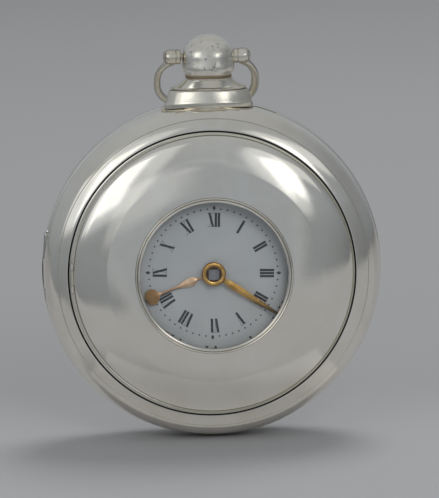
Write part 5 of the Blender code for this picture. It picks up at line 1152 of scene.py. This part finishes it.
# Lights, as name, place, size, power and colour; each points at the origin
WARM, CREAM, IVORY, WHITE = (1.0, 0.995, 0.97), (1.0, 0.995, 0.96), (1.0, 1.0, 0.99), (1.0, 1.0, 1.0)
LIGHTS = (
    ("key_left", (-0.46, -0.81, 0.34), (0.34, 0.42), 0.28, WARM),
    ("side_left", (-0.9, -0.81, 0.37), (0.52, 0.52), 0.34, WARM),
    ("key_right", (0.35, -0.81, 0.25), (0.17, 0.27), 0.085, CREAM),
    ("key_strip", (0.274, -0.81, 0.22), (0.038, 0.28), 0.026, CREAM),
    ("glow_left", (-0.42, -0.8, 0.36), (0.6, 0.64), 0.27, IVORY),
    ("glow_right", (0.3, -0.8, 0.26), (0.27, 0.48), 0.1, IVORY),
    ("side_right", (0.57, -0.81, 0.44), (0.36, 0.24), 0.09, WARM),
    ("glow_low", (-0.15, -0.8, 0.07), (0.3, 0.24), 0.034, IVORY),
    ("top_soft", (0.16, 0.32, 0.8), (0.35, 0.35), 3.6, WHITE),
    ("front_soft", (0.16, -0.7, 0.4), (0.26, 0.26), 1.0, WHITE),
)
ROUNDED = ("key_right", "glow_right")
BOUNCE_PLACE, BOUNCE_SIZE, BOUNCE_POWER = (0.0, -0.0268, -0.0286), (0.064, 0.0235), 0.00043
BOUNCE_COLOUR, BOUNCE_SPREAD = (1.0, 0.98, 0.94), 140


def area(name, place, size, power, colour, aim=(0, 0, 0)):
    data = bpy.data.lights.new(name, "AREA")
    data.shape = "ELLIPSE" if name in ROUNDED else "RECTANGLE"
    data.size, data.size_y = size
    data.energy = power
    data.color = colour
    ob = new_object(name, data)
    ob.location = place
    ob.rotation_euler = (Vector(aim) - Vector(place)).to_track_quat("-Z", "Y").to_euler()
    return ob


for light in LIGHTS:
    made = area(*light)
    made.visible_glossy = not light[0].endswith("_soft")
# Light that the floor in front throws up into the metal, seen only as a reflection
bounce = area("floor_bounce", BOUNCE_PLACE, BOUNCE_SIZE, BOUNCE_POWER, BOUNCE_COLOUR,
              aim=(BOUNCE_PLACE[0], BOUNCE_PLACE[1], 1.0))
bounce.data.spread = radians(BOUNCE_SPREAD)
bounce.visible_diffuse = bounce.visible_camera = False

# Camera, in metres
AZIMUTH, ELEVATION, ROLL, DISTANCE = radians(-3.0), radians(9.7), radians(-1.1), 0.7
TARGET = Vector((0.00132, -0.0105, 0.00334))
SENSOR_HEIGHT, SEEN_HEIGHT = 24.0, 0.0844


def make_camera():
    data = bpy.data.cameras.new("camera")
    data.sensor_fit = "VERTICAL"
    data.sensor_height = SENSOR_HEIGHT
    data.lens = SENSOR_HEIGHT * DISTANCE / SEEN_HEIGHT
    data.clip_start, data.clip_end = 0.01, 20.0
    cam = new_object("camera", data)
    bpy.context.scene.camera = cam
    level = cos(ELEVATION)
    away = Vector((sin(AZIMUTH) * level, -cos(AZIMUTH) * level, sin(ELEVATION)))
    turn = (-away).to_track_quat("-Z", "Y").to_matrix().to_4x4()
    cam.matrix_world = Matrix.Translation(TARGET + away * DISTANCE) @ turn @ Matrix.Rotation(ROLL, 4, "Z")


make_camera()
bpy.context.scene.view_settings.view_transform = "Standard"
